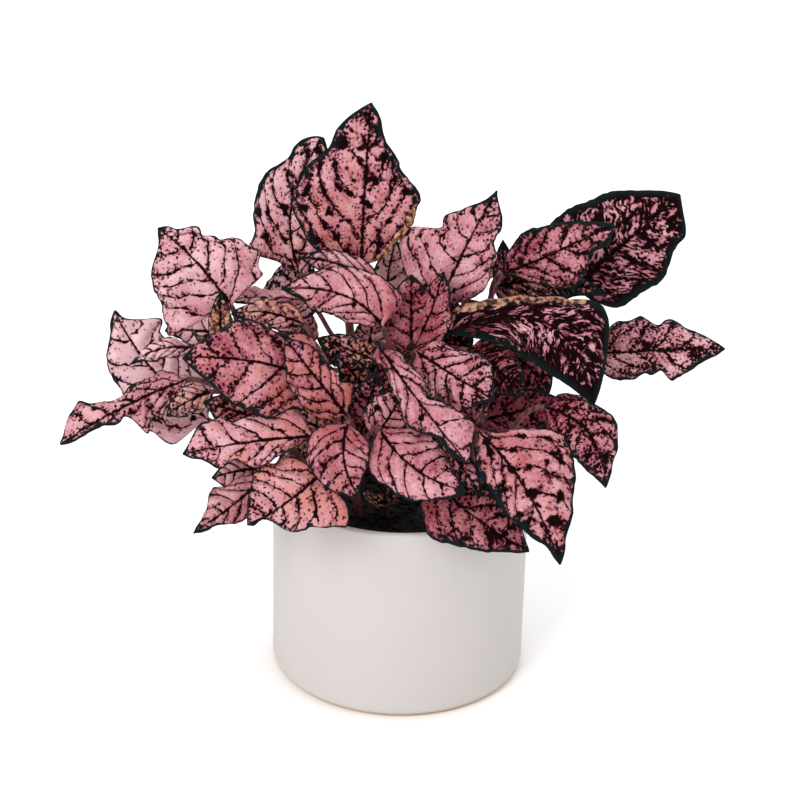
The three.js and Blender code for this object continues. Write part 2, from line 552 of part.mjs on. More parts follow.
// A solid that can be joined and cut, made from a closed mesh, and the mesh of such a solid. Triangles
// that merging has closed up are dropped.
function toSolid(geometry) {
  const merged = mergeVertices(geometry, 1e-4);
  const index = [];
  const corners = merged.index.array;
  for (let i = 0; i < corners.length; i += 3) {
    const [a, b, c] = [corners[i], corners[i + 1], corners[i + 2]];
    if (a !== b && b !== c && c !== a) {
      index.push(a, b, c);
    }
  }
  return new wasm.Manifold(new wasm.Mesh({
    numProp: 3,
    vertProperties: new Float32Array(merged.attributes.position.array),
    triVerts: new Uint32Array(index),
  }));
}

function fromSolid(solid) {
  const mesh = solid.getMesh();
  const geometry = new THREE.BufferGeometry();
  geometry.setAttribute("position", new THREE.BufferAttribute(mesh.vertProperties, 3));
  geometry.setIndex(new THREE.BufferAttribute(mesh.triVerts, 1));
  return geometry;
}

// A stem with its young leaves fused to its tip.
function stemGeometry(stem) {
  let solid = toSolid(tubeAlong(stem.spine, 0, 1, stemRings, stemRadius));
  for (const row of stem.young) {
    const { upper, lower } = bladeRows(youngLeaf(stem.spine[2], row), youngSteps, youngAcross);
    solid = solid.add(toSolid(solidBetween(upper, lower)));
  }
  return fromSolid(solid);
}

// The plain hole that a stem stands in: its own shape with the clearance all round.
function stemHole(stem) {
  const radius = stemFootRadius + clearance;
  const below = -clearance / stem.spine[0].distanceTo(stem.spine[2]);
  return toSolid(tubeAlong(stem.spine, below, 1, stemRings, () => radius));
}

function turned(profile, facets) {
  const geometry = new THREE.LatheGeometry(profile, facets).rotateX(Math.PI / 2);
  geometry.deleteAttribute("normal");
  geometry.deleteAttribute("uv");
  return geometry;
}

// The pot is a straight cylinder with a rounded foot, a flat base and a softly rounded lip.
function potGeometry() {
  const outer = potDiameter / 2;
  const inner = outer - potWall;
  const lip = potHeight - potLipRounding;
  const profile = new THREE.Path();
  profile.moveTo(0, 0);
  profile.lineTo(outer - potFootRounding, 0);
  profile.absarc(outer - potFootRounding, potFootRounding, potFootRounding, -Math.PI / 2, 0, false);
  profile.lineTo(outer, lip);
  profile.absarc(outer - potLipRounding, lip, potLipRounding, 0, Math.PI / 2, false);
  profile.absarc(inner + potLipRounding, lip, potLipRounding, Math.PI / 2, Math.PI, false);
  profile.lineTo(inner, potFloor);
  profile.lineTo(0, potFloor);
  return turned(profile.getPoints(2), potFacets);
}

function crumbs(x, y) {
  const broad = Math.sin(0.31 * x + 1.3) * Math.cos(0.27 * y);
  const fine = Math.sin(0.9 * x - 0.6 * y) + Math.sin(0.8 * y + 0.5 * x + 2);
  return crumbHeight * (0.6 * broad + 0.35 * fine);
}

// The soil fills the pot up to an uneven top, and the stems' holes are cut into it.
function soilGeometry() {
  const radius = potDiameter / 2 - potWall - clearance;
  const foot = potFloor + clearance;
  const profile = [new THREE.Vector2(0, foot), new THREE.Vector2(radius, foot)];
  for (let ring = soilRings; ring >= 0; ring--) {
    profile.push(new THREE.Vector2((radius * ring) / soilRings, soilLevel));
  }
  const geometry = turned(profile, soilFacets);
  const position = geometry.attributes.position;
  for (let i = 0; i < position.count; i++) {
    if (position.getZ(i) > foot + 1) {
      position.setZ(i, soilLevel + crumbs(position.getX(i), position.getY(i)));
    }
  }
  let solid = toSolid(geometry);
  for (const stem of Object.values(stems)) {
    solid = solid.subtract(stemHole(stem));
  }
  return fromSolid(solid);
}

for (const stem of Object.values(stems)) {
  stem.spine = stem.spine.map(toVector);
}
const grownLeaves = leaves.map((row) => ({
  ...ordinaryLeaf, ...row, spine: row.spine.map(toVector), looks: toVector(row.looks).normalize(),
}));

const group = new THREE.Group();

function addPiece(name, geometry, colour) {
  const mesh = new THREE.Mesh(geometry, new THREE.MeshStandardMaterial(colour));
  mesh.name = name;
  group.add(mesh);
}

addPiece("pot", potGeometry(), potColour);
addPiece("soil", soilGeometry(), soilColour);
for (const [name, stem] of Object.entries(stems)) {
  addPiece(`stem_${name}`, stemGeometry(stem), stemColour);
}
for (const leaf of grownLeaves) {
  addPiece(leaf.name, grownLeaf(leaf), leafColour);
}

export default group;
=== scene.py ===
"""A potted polka dot plant: a plain off-white ceramic pot of dark soil with eight leafy shoots and a low
sprout. Their pink leaves are veined and flecked in near black and edged in dark green. Sizes are in
millimetres. Those of the camera, the floor, the lamps and the pot's, soil's and stems' finish are in
metres."""

from math import pi, radians

import bpy
import numpy as np
from mathutils import Matrix, Vector


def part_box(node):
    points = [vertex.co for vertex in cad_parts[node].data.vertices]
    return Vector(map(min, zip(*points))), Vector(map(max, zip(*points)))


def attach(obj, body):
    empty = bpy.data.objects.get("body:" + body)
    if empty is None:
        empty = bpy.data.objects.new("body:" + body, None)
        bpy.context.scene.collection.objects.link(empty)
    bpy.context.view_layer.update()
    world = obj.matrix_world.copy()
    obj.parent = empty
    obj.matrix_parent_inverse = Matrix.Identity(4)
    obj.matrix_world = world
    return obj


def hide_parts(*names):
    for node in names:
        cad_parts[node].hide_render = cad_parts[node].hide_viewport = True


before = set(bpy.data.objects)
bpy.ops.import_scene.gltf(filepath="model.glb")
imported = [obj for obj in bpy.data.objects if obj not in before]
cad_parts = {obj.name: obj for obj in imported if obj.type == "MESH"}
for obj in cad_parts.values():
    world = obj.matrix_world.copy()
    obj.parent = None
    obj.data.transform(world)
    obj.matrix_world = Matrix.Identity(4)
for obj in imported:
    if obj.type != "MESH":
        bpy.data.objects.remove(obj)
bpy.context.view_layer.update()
mm = 0.001


# The camera. It stands in front of the pot and looks down on it from just under a metre away, a little
# rolled, with the long lens of a product photograph.
camera_place = Vector((-0.0013, -0.9345, 0.5678))
looks_down = radians(25.42)
camera_roll = radians(1.35)
lens = 110


def add(name, data):
    """A new object in the scene that shows some data."""
    made = bpy.data.objects.new(name, data)
    bpy.context.scene.collection.objects.link(made)
    return made


camera_data = bpy.data.cameras.new("camera")
camera_data.lens = lens
camera_data.sensor_width = 36
camera_data.clip_start = 0.05
camera_data.clip_end = 50
camera = add("camera", camera_data)
camera.matrix_world = (
    Matrix.Translation(camera_place)
    @ Matrix.Rotation(pi / 2 - looks_down, 4, "X")
    @ Matrix.Rotation(camera_roll, 4, "Z")
)
bpy.context.scene.camera = camera
bpy.context.scene.view_settings.view_transform = "Standard"


# The surroundings. A plain white sheet under the pot, a white room, and three broad soft lamps: the main
# one high on the left in front, a weaker one on the right, and one above and behind for the rims.
def linear(red, green, blue):
    """A colour given as it looks on screen, from 0 to 255, as the renderer's linear light."""
    shares = np.array([red, green, blue]) / 255
    light = np.where(shares <= 0.04045, shares / 12.92, ((shares + 0.055) / 1.055) ** 2.4)
    return (*light, 1.0)


def feed(tree, node, inputs):
    """Give a shader node its inputs, each of them a value or another node's output."""
    for name, value in inputs.items():
        if isinstance(value, bpy.types.NodeSocket):
            tree.links.new(value, node.inputs[name])
        else:
            node.inputs[name].default_value = value


def put(tree, kind, inputs=None, **settings):
    """A new shader node of a kind, such as Bump, with its settings and its inputs."""
    made = tree.nodes.new("ShaderNode" + kind)
    for name, value in settings.items():
        setattr(made, name, value)
    feed(tree, made, inputs or {})
    return made


def new_material(name):
    """A node material with nothing in it but its Principled shader, and its tree and that shader."""
    material = bpy.data.materials.new(name)
    material.use_nodes = True
    tree = material.node_tree
    tree.nodes.clear()
    shader = put(tree, "BsdfPrincipled")
    put(tree, "OutputMaterial", {"Surface": shader.outputs["BSDF"]})
    return material, tree, shader


half_floor = 15.0
floor_mesh = bpy.data.meshes.new("floor")
floor_corners = [(x * half_floor, y * half_floor, 0) for x, y in ((-1, -1), (1, -1), (1, 1), (-1, 1))]
floor_mesh.from_pydata(floor_corners, [], [(0, 1, 2, 3)])
floor_material, tree, shader = new_material("white sheet")
feed(tree, shader, {"Base Color": linear(250, 250, 250), "Roughness": 0.9})
floor_mesh.materials.append(floor_material)
floor = add("floor", floor_mesh)

world = bpy.data.worlds.new("white room")
world.use_nodes = True
feed(world.node_tree, world.node_tree.nodes["Background"], {"Color": (1, 1, 1, 1), "Strength": 0.8})
bpy.context.scene.world = world

plant_middle = Vector((0, 0, 0.13))


def soft_lamp(name, place, width, power):
    """A square lamp, turned to the middle of the plant."""
    data = bpy.data.lights.new(name, "AREA")
    data.size = width
    data.energy = power
    lamp = add(name, data)
    lamp.location = place
    lamp.rotation_euler = (plant_middle - Vector(place)).to_track_quat("-Z", "Y").to_euler()


soft_lamp("main_lamp", (-1.2, -1.7, 1.5), 1.2, 36)
soft_lamp("side_lamp", (1.9, -0.8, 1.6), 1.6, 10)
soft_lamp("rear_lamp", (0.3, 1.5, 2.6), 2.0, 32)


# The pot. It is one piece of cast stoneware with a matte off-white glaze: a straight wall, a softly rounded
# foot and a thin lip. The glaze stops just above the foot, where a tan band shows that is partly the bare
# clay and partly painted shade where the pot meets the floor.
def signed_volume(points, triangles):
    """Six times the volume inside a closed mesh, below zero if its faces point inwards."""
    a, b, c = (points[triangles[:, i]] for i in range(3))
    return np.einsum("ij,ij->", a, np.cross(b, c))


def ring_faces(rows, columns):
    """Quads between the neighbouring rings of a tube, and a fan to a middle point at each end."""
    around = np.arange(columns)
    after = np.roll(around, -1)
    row = columns * np.arange(rows - 1)[:, None]
    corners = [row + around, row + after, row + columns + after, row + columns + around]
    last = (rows - 1) * columns
    first_middle = np.full(columns, rows * columns)
    opening = np.stack([first_middle, after, around], -1)
    closing = np.stack([first_middle + 1, last + around, last + after], -1)
    return np.stack(corners, -1).reshape(-1, 4), opening, closing


def make_piece(name, tubes, materials):
    """One mesh object from closed tubes. A tube has rings, an array of rows, columns and x, y, z; slots,
    the material's number, or one for each column between two rows; and traits, arrays of the same rows
    and columns that become the mesh's attributes."""
    points, faces, slots, traits = [], [], [], {}
    count = 0
    for tube in tubes:
        rings = tube["rings"]
        rows, columns = rings.shape[:2]
        place = np.concatenate([rings.reshape(-1, 3), rings[:1].mean(1), rings[-1:].mean(1)])
        quads, opening, closing = ring_faces(rows, columns)
        halves = np.concatenate([quads[:, :3], quads[:, [0, 2, 3]], opening, closing])
        inwards = signed_volume(place, halves) < 0
        cells = np.broadcast_to(tube.get("slots", 0), (rows - 1, columns))
        for group, slot in ((quads, cells.ravel()), (opening, cells[0]), (closing, cells[-1])):
            faces += (count + (group[:, ::-1] if inwards else group)).tolist()
            slots.append(slot)
        points.append(place)
        for trait, values in tube.get("traits", {}).items():
            ends = [values[:1].mean(1), values[-1:].mean(1)]
            traits.setdefault(trait, []).extend([values.reshape(-1, values.shape[-1]), *ends])
        count += len(place)
    mesh = bpy.data.meshes.new(name)
    mesh.from_pydata((np.concatenate(points) * mm).tolist(), [], faces)
    mesh.polygons.foreach_set("material_index", np.concatenate(slots).astype(np.int32))
    mesh.polygons.foreach_set("use_smooth", np.ones(len(faces), bool))
    for trait, parts in traits.items():
        values = np.concatenate(parts).astype(np.float32)
        kind, field = ("FLOAT_COLOR", "color") if values.shape[1] == 4 else ("FLOAT_VECTOR", "vector")
        mesh.attributes.new(trait, kind, "POINT").data.foreach_set(field, values.ravel())
    for material in materials:
        mesh.materials.append(material)
    mesh.update()
    piece = add(name, mesh)
    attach(piece, "root")
    return piece


def turned(profile, turns):
    """Rings made by turning a profile of radius and height pairs once round the upright axis."""
    angle = np.linspace(0, 2 * pi, turns, endpoint=False)
    radius, height = np.asarray(profile, float).T
    across = radius[:, None] * np.cos(angle)
    deep = radius[:, None] * np.sin(angle)
    return np.stack([across, deep, np.broadcast_to(height[:, None], across.shape)], -1)


def arc(centre, radius, start, end, steps):
    """Points of a circle's arc in a profile, with its angles in degrees."""
    angle = np.radians(np.linspace(start, end, steps))
    return np.stack([centre[0] + radius * np.cos(angle), centre[1] + radius * np.sin(angle)], -1)


pot_low, pot_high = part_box("pot")
pot_radius = (pot_high.x - pot_low.x) / 2 / mm
pot_height = pot_high.z / mm
pot_wall = 3
pot_floor = 6
floor_corner = 3
foot_rounding = 4
lip_rounding = 1.2
foot_recess = 0.8
foot_ring = 5
hub = 1
wall_rows = 30
pot_turns = 160

pot_inner = pot_radius - pot_wall
lip_level = pot_height - lip_rounding
recess_edge = pot_radius - foot_rounding - foot_ring
pot_profile = np.concatenate([
    [(hub, foot_recess), (recess_edge - 1, foot_recess), (recess_edge, 0)],
    arc((pot_radius - foot_rounding, foot_rounding), foot_rounding, -90, 0, 14),
    np.stack([np.full(wall_rows, pot_radius),
              np.linspace(foot_rounding + 1, lip_level - 0.5, wall_rows)], -1),
    arc((pot_radius - lip_rounding, lip_level), lip_rounding, 0, 90, 8),
    arc((pot_inner + lip_rounding, lip_level), lip_rounding, 90, 180, 8),
    [(pot_inner, lip_level - 6), (pot_inner, pot_floor + floor_corner),
     (pot_inner - floor_corner, pot_floor), (hub, pot_floor)],
])

glaze_light = linear(193, 188, 185)
glaze_shade = linear(187, 180, 176)
# A tan band round the foot: bare clay, and painted shade where the pot meets the floor.
bare_clay_and_shade = linear(186, 152, 112)
glaze_line = 0.0026


def calc(tree, operation, *values):
    """The output of a Math node."""
    return put(tree, "Math", dict(enumerate(values)), operation=operation).outputs[0]


def total(tree, start, *parts):
    """A value with other values added to it, each times its own weight."""
    for value, weight in parts:
        start = calc(tree, "MULTIPLY_ADD", value, weight, start)
    return start


def scaled(tree, value, low, high, to_low=0.0, to_high=1.0, **settings):
    """A value mapped from one range to another, in a straight line unless said, and held inside it."""
    inputs = {"Value": value, "From Min": low, "From Max": high, "To Min": to_low, "To Max": to_high}
    return put(tree, "MapRange", inputs, **settings).outputs[0]


def cloud(tree, place, scale, detail):
    """Soft noise from 0 to 1 with so many patches to a unit of the place."""
    return put(tree, "TexNoise", {"Vector": place, "Scale": scale, "Detail": detail}).outputs["Fac"]


def mixed(tree, share, first, second):
    """A mix of two colours, with the second's share."""
    return put(tree, "MixRGB", {"Fac": share, "Color1": first, "Color2": second}).outputs[0]


def bumped(tree, height, strength, depth):
    """The direction of a surface that a height from 0 to 1 raises by a depth."""
    return put(tree, "Bump", {"Strength": strength, "Distance": depth, "Height": height}).outputs[0]


pot_material, tree, shader = new_material("matte glaze")
place = put(tree, "TexCoord").outputs["Object"]
height = put(tree, "SeparateXYZ", {0: place}).outputs["Z"]
drift = cloud(tree, place, 22, 3)
speckle = cloud(tree, place, 900, 2)
glaze = mixed(tree, drift, glaze_light, glaze_shade)
# Below this wavering height the tan band shows: bare clay, and painted shade where the pot stands on the
# floor.
glaze_foot = total(tree, 0.0006, (drift, 0.0016))
glazed = scaled(tree, height, glaze_foot, glaze_line, interpolation_type="SMOOTHSTEP")
feed(tree, shader, {
    "Base Color": mixed(tree, glazed, bare_clay_and_shade, glaze),
    "Roughness": scaled(tree, speckle, 0, 1, 0.5, 0.66),
    "Specular IOR Level": 0.35,
    "Normal": bumped(tree, speckle, 0.12, 0.0002)})

glazed_pot = make_piece("glazed_pot", [{"rings": turned(pot_profile, pot_turns)}], [pot_material])
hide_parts("pot")


# The soil. It is moist peat that fills the pot to just under the lip, uneven and crumbly on top, with loose
# crumbs of several sizes lying half sunk in it. Its near-black colour is the peat's own dark brown, deepened
# with painted shade from the leaves above.
soil_low, soil_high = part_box("soil")
soil_radius = (soil_high.x - soil_low.x) / 2 / mm
soil_foot = soil_low.z / mm
soil_level = 82
soil_turns = 150
crumb_count = 900
crumb_sizes = (0.5, 1.7)
crumb_unevenness = (0.65, 1.2)
crumb_flatness = 0.8
crumb_rise = 0.25
crumb_margin = 2.2
soil_draw = np.random.default_rng(11)


def soil_top(x, y):
    """The height of the soil: broad swells and finer lumps, both sums and products of sines."""
    broad = np.sin(0.31 * x + 1.3) * np.cos(0.27 * y)
    fine = np.sin(0.9 * x - 0.6 * y) + np.sin(0.8 * y + 0.5 * x + 2)
    crumbs = np.sin(2.3 * x + 1.1 * y) * np.sin(2.1 * y - 1.4 * x + 1)
    return soil_level + 0.54 * broad + 0.32 * fine + 0.28 * crumbs


soil_profile = [(hub, soil_foot), (soil_radius - floor_corner, soil_foot),
                (soil_radius, soil_foot + floor_corner), (soil_radius, soil_level - 4)]
soil_profile += [(soil_radius * share, soil_level) for share in np.linspace(1, 0.01, 60)]
soil_rings = turned(soil_profile, soil_turns)
on_top = soil_rings[..., 2] > soil_level - 1
soil_rings[..., 2] = np.where(on_top, soil_top(soil_rings[..., 0], soil_rings[..., 1]), soil_rings[..., 2])


def crumb(radius):
    """Rings of a small lump: a ball of 4 rings of 5 points with its radius drawn anew at each point."""
    tilt = np.radians([-60, -20, 20, 60])[:, None]
    around = np.linspace(0, 2 * pi, 5, endpoint=False)[None, :]
    size = radius * soil_draw.uniform(*crumb_unevenness, (4, 5))
    return np.stack([size * np.cos(tilt) * np.cos(around), size * np.cos(tilt) * np.sin(around),
                     crumb_flatness * size * np.sin(tilt)], -1)


crumbs = []
for _ in range(crumb_count):
    reach = (soil_radius - crumb_margin) * soil_draw.uniform() ** 0.5
    turn = soil_draw.uniform(0, 2 * pi)
    radius = soil_draw.triangular(crumb_sizes[0], crumb_sizes[0], crumb_sizes[1])
    x, y = reach * np.cos(turn), reach * np.sin(turn)
    crumbs.append({"rings": crumb(radius) + (x, y, soil_top(x, y) + crumb_rise * radius)})

# Near-black peat: its own dark brown, deepened as painted shade under the leaves.
peat_dark_and_shade = (6, 5, 5)
peat_light_and_shade = (24, 19, 17)


def ramped(tree, value, *stops):
    """The colour at a value between stops, each of them a value and a screen colour."""
    node = put(tree, "ValToRGB", {"Fac": value})
    elements = node.color_ramp.elements
    for element, (spot, colour) in zip(elements, (stops[0], stops[-1])):
        element.position, element.color = spot, linear(*colour)
    for spot, colour in stops[1:-1]:
        elements.new(spot).color = linear(*colour)
    return node.outputs["Color"]


soil_material, tree, shader = new_material("moist peat")
place = put(tree, "TexCoord").outputs["Object"]
lumps = cloud(tree, place, 420, 5)
feed(tree, shader, {
    "Base Color": ramped(tree, lumps, (0.35, peat_dark_and_shade), (0.75, peat_light_and_shade)),
    "Roughness": scaled(tree, cloud(tree, place, 90, 2), 0, 1, 0.75, 1.0),
    "Specular IOR Level": 0.2,
    "Normal": bumped(tree, lumps, 0.6, 0.0006)})

crumbly_soil = make_piece("crumbly_soil", [{"rings": soil_rings}, *crumbs], [soil_material])
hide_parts("soil")


# The markings that the blades share. A shader group works out from a blade's own measures where it is
# dark: the midrib, the side veins, the edge, angular blotches beside the veins and fine flecks along them.
# Each mark is a value that is 0 at its rim and grows inwards, and the largest of them counts.
vein_stagger = 0.16
side_vein_widths = (0.14, 0.85)
midrib_widths = (0.32, 1.25)
vein_rim, midrib_rim, margin_rim = 0.22, 0.24, 0.26
beside_veins = (0.3, 2.4)
beside_edge = (0.3, 6.0)
speck_grain, streak_grain, blotch_grain, cloud_grain = 1.35, 0.95, 4.6, 9
dot_density = 0.42


def noise(tree, place, grain_mm, detail, offset=(0, 0, 0), stretch=(1, 1, 1)):
    """A cloud with patches about so many millimetres across, stretched along the place's axes. The offset
    picks a part of it that no other noise shows."""
    size = [1 / (grain_mm * share) for share in stretch]
    moved = put(tree, "Mapping", {"Vector": place, "Location": offset, "Scale": (*size,)})
    return cloud(tree, moved.outputs[0], 1.0, detail)


polka = bpy.data.node_groups.new("polka marks", "ShaderNodeTree")
for name, kind in (("Flat", "Vector"), ("Veins", "Vector"), ("Ink", "Float"), ("Blotch", "Float"),
                   ("Margin", "Float"), ("Along", "Float"), ("Spacing", "Float")):
    polka.interface.new_socket(name=name, in_out="INPUT", socket_type="NodeSocket" + kind)
for name in ("Dark", "Halo", "Vein", "Net", "Cloud"):
    polka.interface.new_socket(name=name, in_out="OUTPUT", socket_type="NodeSocketFloat")
given = polka.nodes.new("NodeGroupInput").outputs
flat = given["Flat"]
measures = put(polka, "SeparateXYZ", {0: given["Veins"]}).outputs
from_midrib, from_edge = measures["Y"], measures["Z"]
away = calc(polka, "ABSOLUTE", from_midrib)

# The side veins and the midrib, in uneven widths that thin to the edge and to the tip.
sway = total(polka, -0.4, (noise(polka, flat, 10, 2), 0.8))
stagger = calc(polka, "MULTIPLY", calc(polka, "SIGN", from_midrib), vein_stagger)
cycle = calc(polka, "ADD", calc(polka, "ADD", measures["X"], stagger), sway)
to_side_vein = calc(polka, "MULTIPLY", calc(polka, "PINGPONG", cycle, 0.5), given["Spacing"])
uneven = noise(polka, flat, 2.4, 3, (7, 3, 1))
side_width = scaled(polka, uneven, 0.36, 0.7, *side_vein_widths)
side_width = calc(polka, "MULTIPLY", side_width, scaled(polka, from_edge, 0, 6, 0.5, 1))
side_vein = calc(polka, "DIVIDE", calc(polka, "SUBTRACT", side_width, to_side_vein), vein_rim)
rib_width = calc(polka, "MULTIPLY", scaled(polka, uneven, 0.3, 0.72, *midrib_widths),
                 scaled(polka, given["Along"], 0, 1, 1.1, 0.5))
midrib = calc(polka, "DIVIDE", calc(polka, "SUBTRACT", rib_width, away), midrib_rim)
veins = calc(polka, "MAXIMUM", side_vein, midrib)

# The flecks and small dots, thicker beside the veins, near the edge and near the tip. On heavily inked
# blades they are drawn out into streaks that lie along the side veins.
beside = scaled(polka, calc(polka, "MINIMUM", to_side_vein, away), *beside_veins, 1, 0)
near_edge = scaled(polka, from_edge, *beside_edge, 1, 0)
near_tip = calc(polka, "POWER", given["Along"], 4.0)
broad = noise(polka, flat, cloud_grain, 1, (2, 9, 4))
lie = put(polka, "CombineXYZ", {
    "X": calc(polka, "MULTIPLY", cycle, 8.0), "Y": from_midrib,
    "Z": put(polka, "SeparateXYZ", {0: flat}).outputs["Z"]}).outputs[0]
speck = noise(polka, flat, speck_grain, 2.0, (1, 5, 2))
streak = noise(polka, lie, streak_grain, 2.5, (6, 2, 5), (1.0, 2.4, 1.0))
streaky = scaled(polka, given["Ink"], 0.5, 0.7)
fleck = put(polka, "Mix", {"Factor": streaky, 2: speck, 3: streak}).outputs[0]
share = total(polka, given["Ink"], (beside, 0.42), (near_edge, 0.22), (near_tip, 0.35),
              (calc(polka, "SUBTRACT", broad, 0.5), 0.9))
level = scaled(polka, share, 0, 1, 0.74, 0.42)
flecks = calc(polka, "MULTIPLY", calc(polka, "SUBTRACT", fleck, level), 20)
cells = put(polka, "Mapping", {"Vector": flat, "Scale": (dot_density, dot_density, 1)}).outputs[0]
dot = put(polka, "TexVoronoi", {"Vector": cells, "Scale": 1.0}).outputs["Distance"]
dot_radius = scaled(polka, share, -0.2, 0.8, 0.1, 0.3)
dots = calc(polka, "MULTIPLY", calc(polka, "SUBTRACT", dot_radius, dot), 9)
flecks = calc(polka, "MAXIMUM", flecks, dots)

# The blotches, and the margin, which is broader near the tip.
lump = noise(polka, flat, blotch_grain, 4, (4, 1, 8))
patch_level = scaled(polka, total(polka, given["Blotch"], (beside, 0.3)), 0, 1.2, 0.72, 0.42)
blotches = calc(polka, "MULTIPLY", calc(polka, "SUBTRACT", lump, patch_level), 24)
edge_width = calc(polka, "MULTIPLY", scaled(polka, noise(polka, flat, 4, 3, (3, 3, 3)), 0.3, 0.7, 0.3, 1.4),
                  total(polka, given["Margin"], (near_tip, 1.6)))
edge = calc(polka, "DIVIDE", calc(polka, "SUBTRACT", edge_width, from_edge), margin_rim)
most = calc(polka, "MAXIMUM", calc(polka, "MAXIMUM", veins, edge), calc(polka, "MAXIMUM", flecks, blotches))
net = put(polka, "TexVoronoi", {"Vector": cells, "Scale": 1.0}, voronoi_dimensions="3D",
          feature="DISTANCE_TO_EDGE").outputs["Distance"]
feed(polka, polka.nodes.new("NodeGroupOutput"), {
    "Dark": scaled(polka, most, 0.0, 1.0), "Halo": scaled(polka, most, -1.2, 0.3),
    "Vein": scaled(polka, veins, -1.5, 0.5), "Net": scaled(polka, net, 0.0, 0.14, 1, 0), "Cloud": broad})

crimson_rim = linear(104, 24, 44)
dry_dark = (44, 26, 22)
dry_middle = (146, 92, 68)


def blade_skin(name, pale, mid, deep, warm, brown, edge_ink, inner_ink, strength, roughness):
    """A blade's material: a pink ground from pale to deep, warmed or browned in patches, under dark marks
    with crimson rims. The marks turn from inner_ink to edge_ink near the edge, and only the ground between
    them has a sheen. The blade's own traits say how much there is of each."""
    material, tree, shader = new_material(name)
    traits = {trait: put(tree, "Attribute", attribute_name=trait).outputs
              for trait in ("flat", "veins", "ways", "marks", "tints")}
    flat, veins = traits["flat"]["Vector"], traits["veins"]["Vector"]
    gloss, dry = traits["marks"]["Alpha"], traits["tints"]["Alpha"]
    along = put(tree, "SeparateXYZ", {0: traits["ways"]["Vector"]}).outputs
    mark = put(tree, "SeparateColor", {0: traits["marks"]["Color"]}).outputs
    tint = put(tree, "SeparateColor", {0: traits["tints"]["Color"]}).outputs
    group = put(tree, "Group", {
        "Flat": flat, "Veins": veins, "Ink": mark["Red"], "Blotch": mark["Green"], "Margin": mark["Blue"],
        "Along": along["X"], "Spacing": along["Z"]}, node_tree=polka).outputs

    drift = calc(tree, "SUBTRACT", group["Cloud"], 0.5)
    mottle = calc(tree, "SUBTRACT", noise(tree, flat, 1.5, 3, (2, 8, 5)), 0.5)
    # The pink deepens towards the root. This is partly the leaf's own colour and partly painted shade where
    # the leaves crowd together.
    near_root = scaled(tree, along["X"], 0, 0.4, 1, 0)
    pink_depth_and_shade = total(tree, tint["Red"], (drift, 1.1), (near_root, 0.34), (group["Net"], 0.12), (mottle, 0.7))
    ground = ramped(tree, pink_depth_and_shade, (0, pale), (0.5, mid), (1, deep))
    patch = noise(tree, flat, 11, 1, (5, 2, 6))
    warm_patch = calc(tree, "ADD", patch, scaled(tree, along["X"], 0.1, 0.6, 0.14, -0.06))
    warmth = calc(tree, "MULTIPLY", scaled(tree, warm_patch, 0.4, 0.62), tint["Green"])
    ground = mixed(tree, warmth, ground, linear(*warm))

    crackle = noise(tree, flat, 1.9, 3, (8, 1, 3))
    withered = scaled(tree, total(tree, dry, (calc(tree, "SUBTRACT", crackle, 0.5), 1.6)), 0.4, 0.6)
    browned = calc(tree, "MULTIPLY", scaled(tree, patch, 0.3, 0.5), tint["Blue"])
    dryness = calc(tree, "MAXIMUM", browned, withered)
    tan = ramped(tree, crackle, (0.42, dry_dark), (0.48, dry_middle), (0.62, brown))
    ground = mixed(tree, dryness, ground, tan)

    rim = calc(tree, "MULTIPLY", group["Halo"], scaled(tree, dryness, 0, 1, 0.74, 0.1))
    ground = mixed(tree, rim, ground, crimson_rim)
    from_edge = put(tree, "SeparateXYZ", {0: veins}).outputs["Z"]
    ink = mixed(tree, scaled(tree, from_edge, 0.8, 4.5, 1, 0), linear(*inner_ink), linear(*edge_ink))
    dark = calc(tree, "MULTIPLY", group["Dark"], total(tree, strength, (withered, -0.75)))
    relief = total(tree, calc(tree, "MULTIPLY", group["Vein"], -1.0),
                   (noise(tree, flat, 0.5, 2), 0.35), (group["Net"], -0.5))
    feed(tree, shader, {
        "Base Color": mixed(tree, dark, ground, ink),
        "Roughness": total(tree, roughness, (gloss, -0.25), (dark, 0.25), (group["Cloud"], 0.1)),
        "Specular IOR Level": 0.04,
        "Coat Weight": calc(tree, "MULTIPLY", gloss, scaled(tree, dark, 0, 1, 0.6, 0)),
        "Coat Roughness": 0.3,
        "Normal": bumped(tree, relief, 0.5, 0.0002)})
    return material


upper_skin = blade_skin(
    "leaf upper side", pale=(210, 167, 173), mid=(184, 124, 133), deep=(134, 54, 68), warm=(188, 116, 96),
    brown=(200, 156, 124), edge_ink=(15, 27, 28), inner_ink=(15, 1, 3), strength=1.0, roughness=0.5)
under_skin = blade_skin(
    "leaf underside", pale=(198, 144, 147), mid=(170, 106, 112), deep=(128, 60, 70), warm=(182, 120, 104),
    brown=(176, 138, 100), edge_ink=(44, 42, 40), inner_ink=(26, 22, 24), strength=0.8, roughness=0.62)

stem_dark = (56, 24, 30)
stem_light = (118, 60, 62)
stem_skin, tree, shader = new_material("stem skin")
place = put(tree, "TexCoord").outputs["Object"]
lengthwise = put(tree, "Mapping", {"Vector": place, "Scale": (700, 700, 90)}).outputs[0]
streak = cloud(tree, lengthwise, 1.0, 3)
feed(tree, shader, {
    "Base Color": ramped(tree, streak, (0.35, stem_dark), (0.7, stem_light)),
    "Roughness": 0.55,
    "Specular IOR Level": 0.3,
    "Normal": bumped(tree, streak, 0.4, 0.0003)})
blade_materials = [upper_skin, under_skin, stem_skin]
stem_slot = blade_materials.index(stem_skin)


# The blades' shape. Each leaf blade is one thin sheet on a bent midrib. Its two halves rise from the
# midrib, bend down again, wave towards the edge and puff up between the side veins.
row_crowding = 1.08
edge_crowding = 0.35
least_half_width = 0.4
ripple_height = 0.03
ripples_along = 3.1
nicks_per_mm = (0.19, 0.31)
waves_along = (2.5, 6.3)
vein_bend = (0.65, 0.35)
midrib_half_width = 0.8
midrib_sink = 0.3
side_rib_height = 0.3
edge_thinning = 0.8


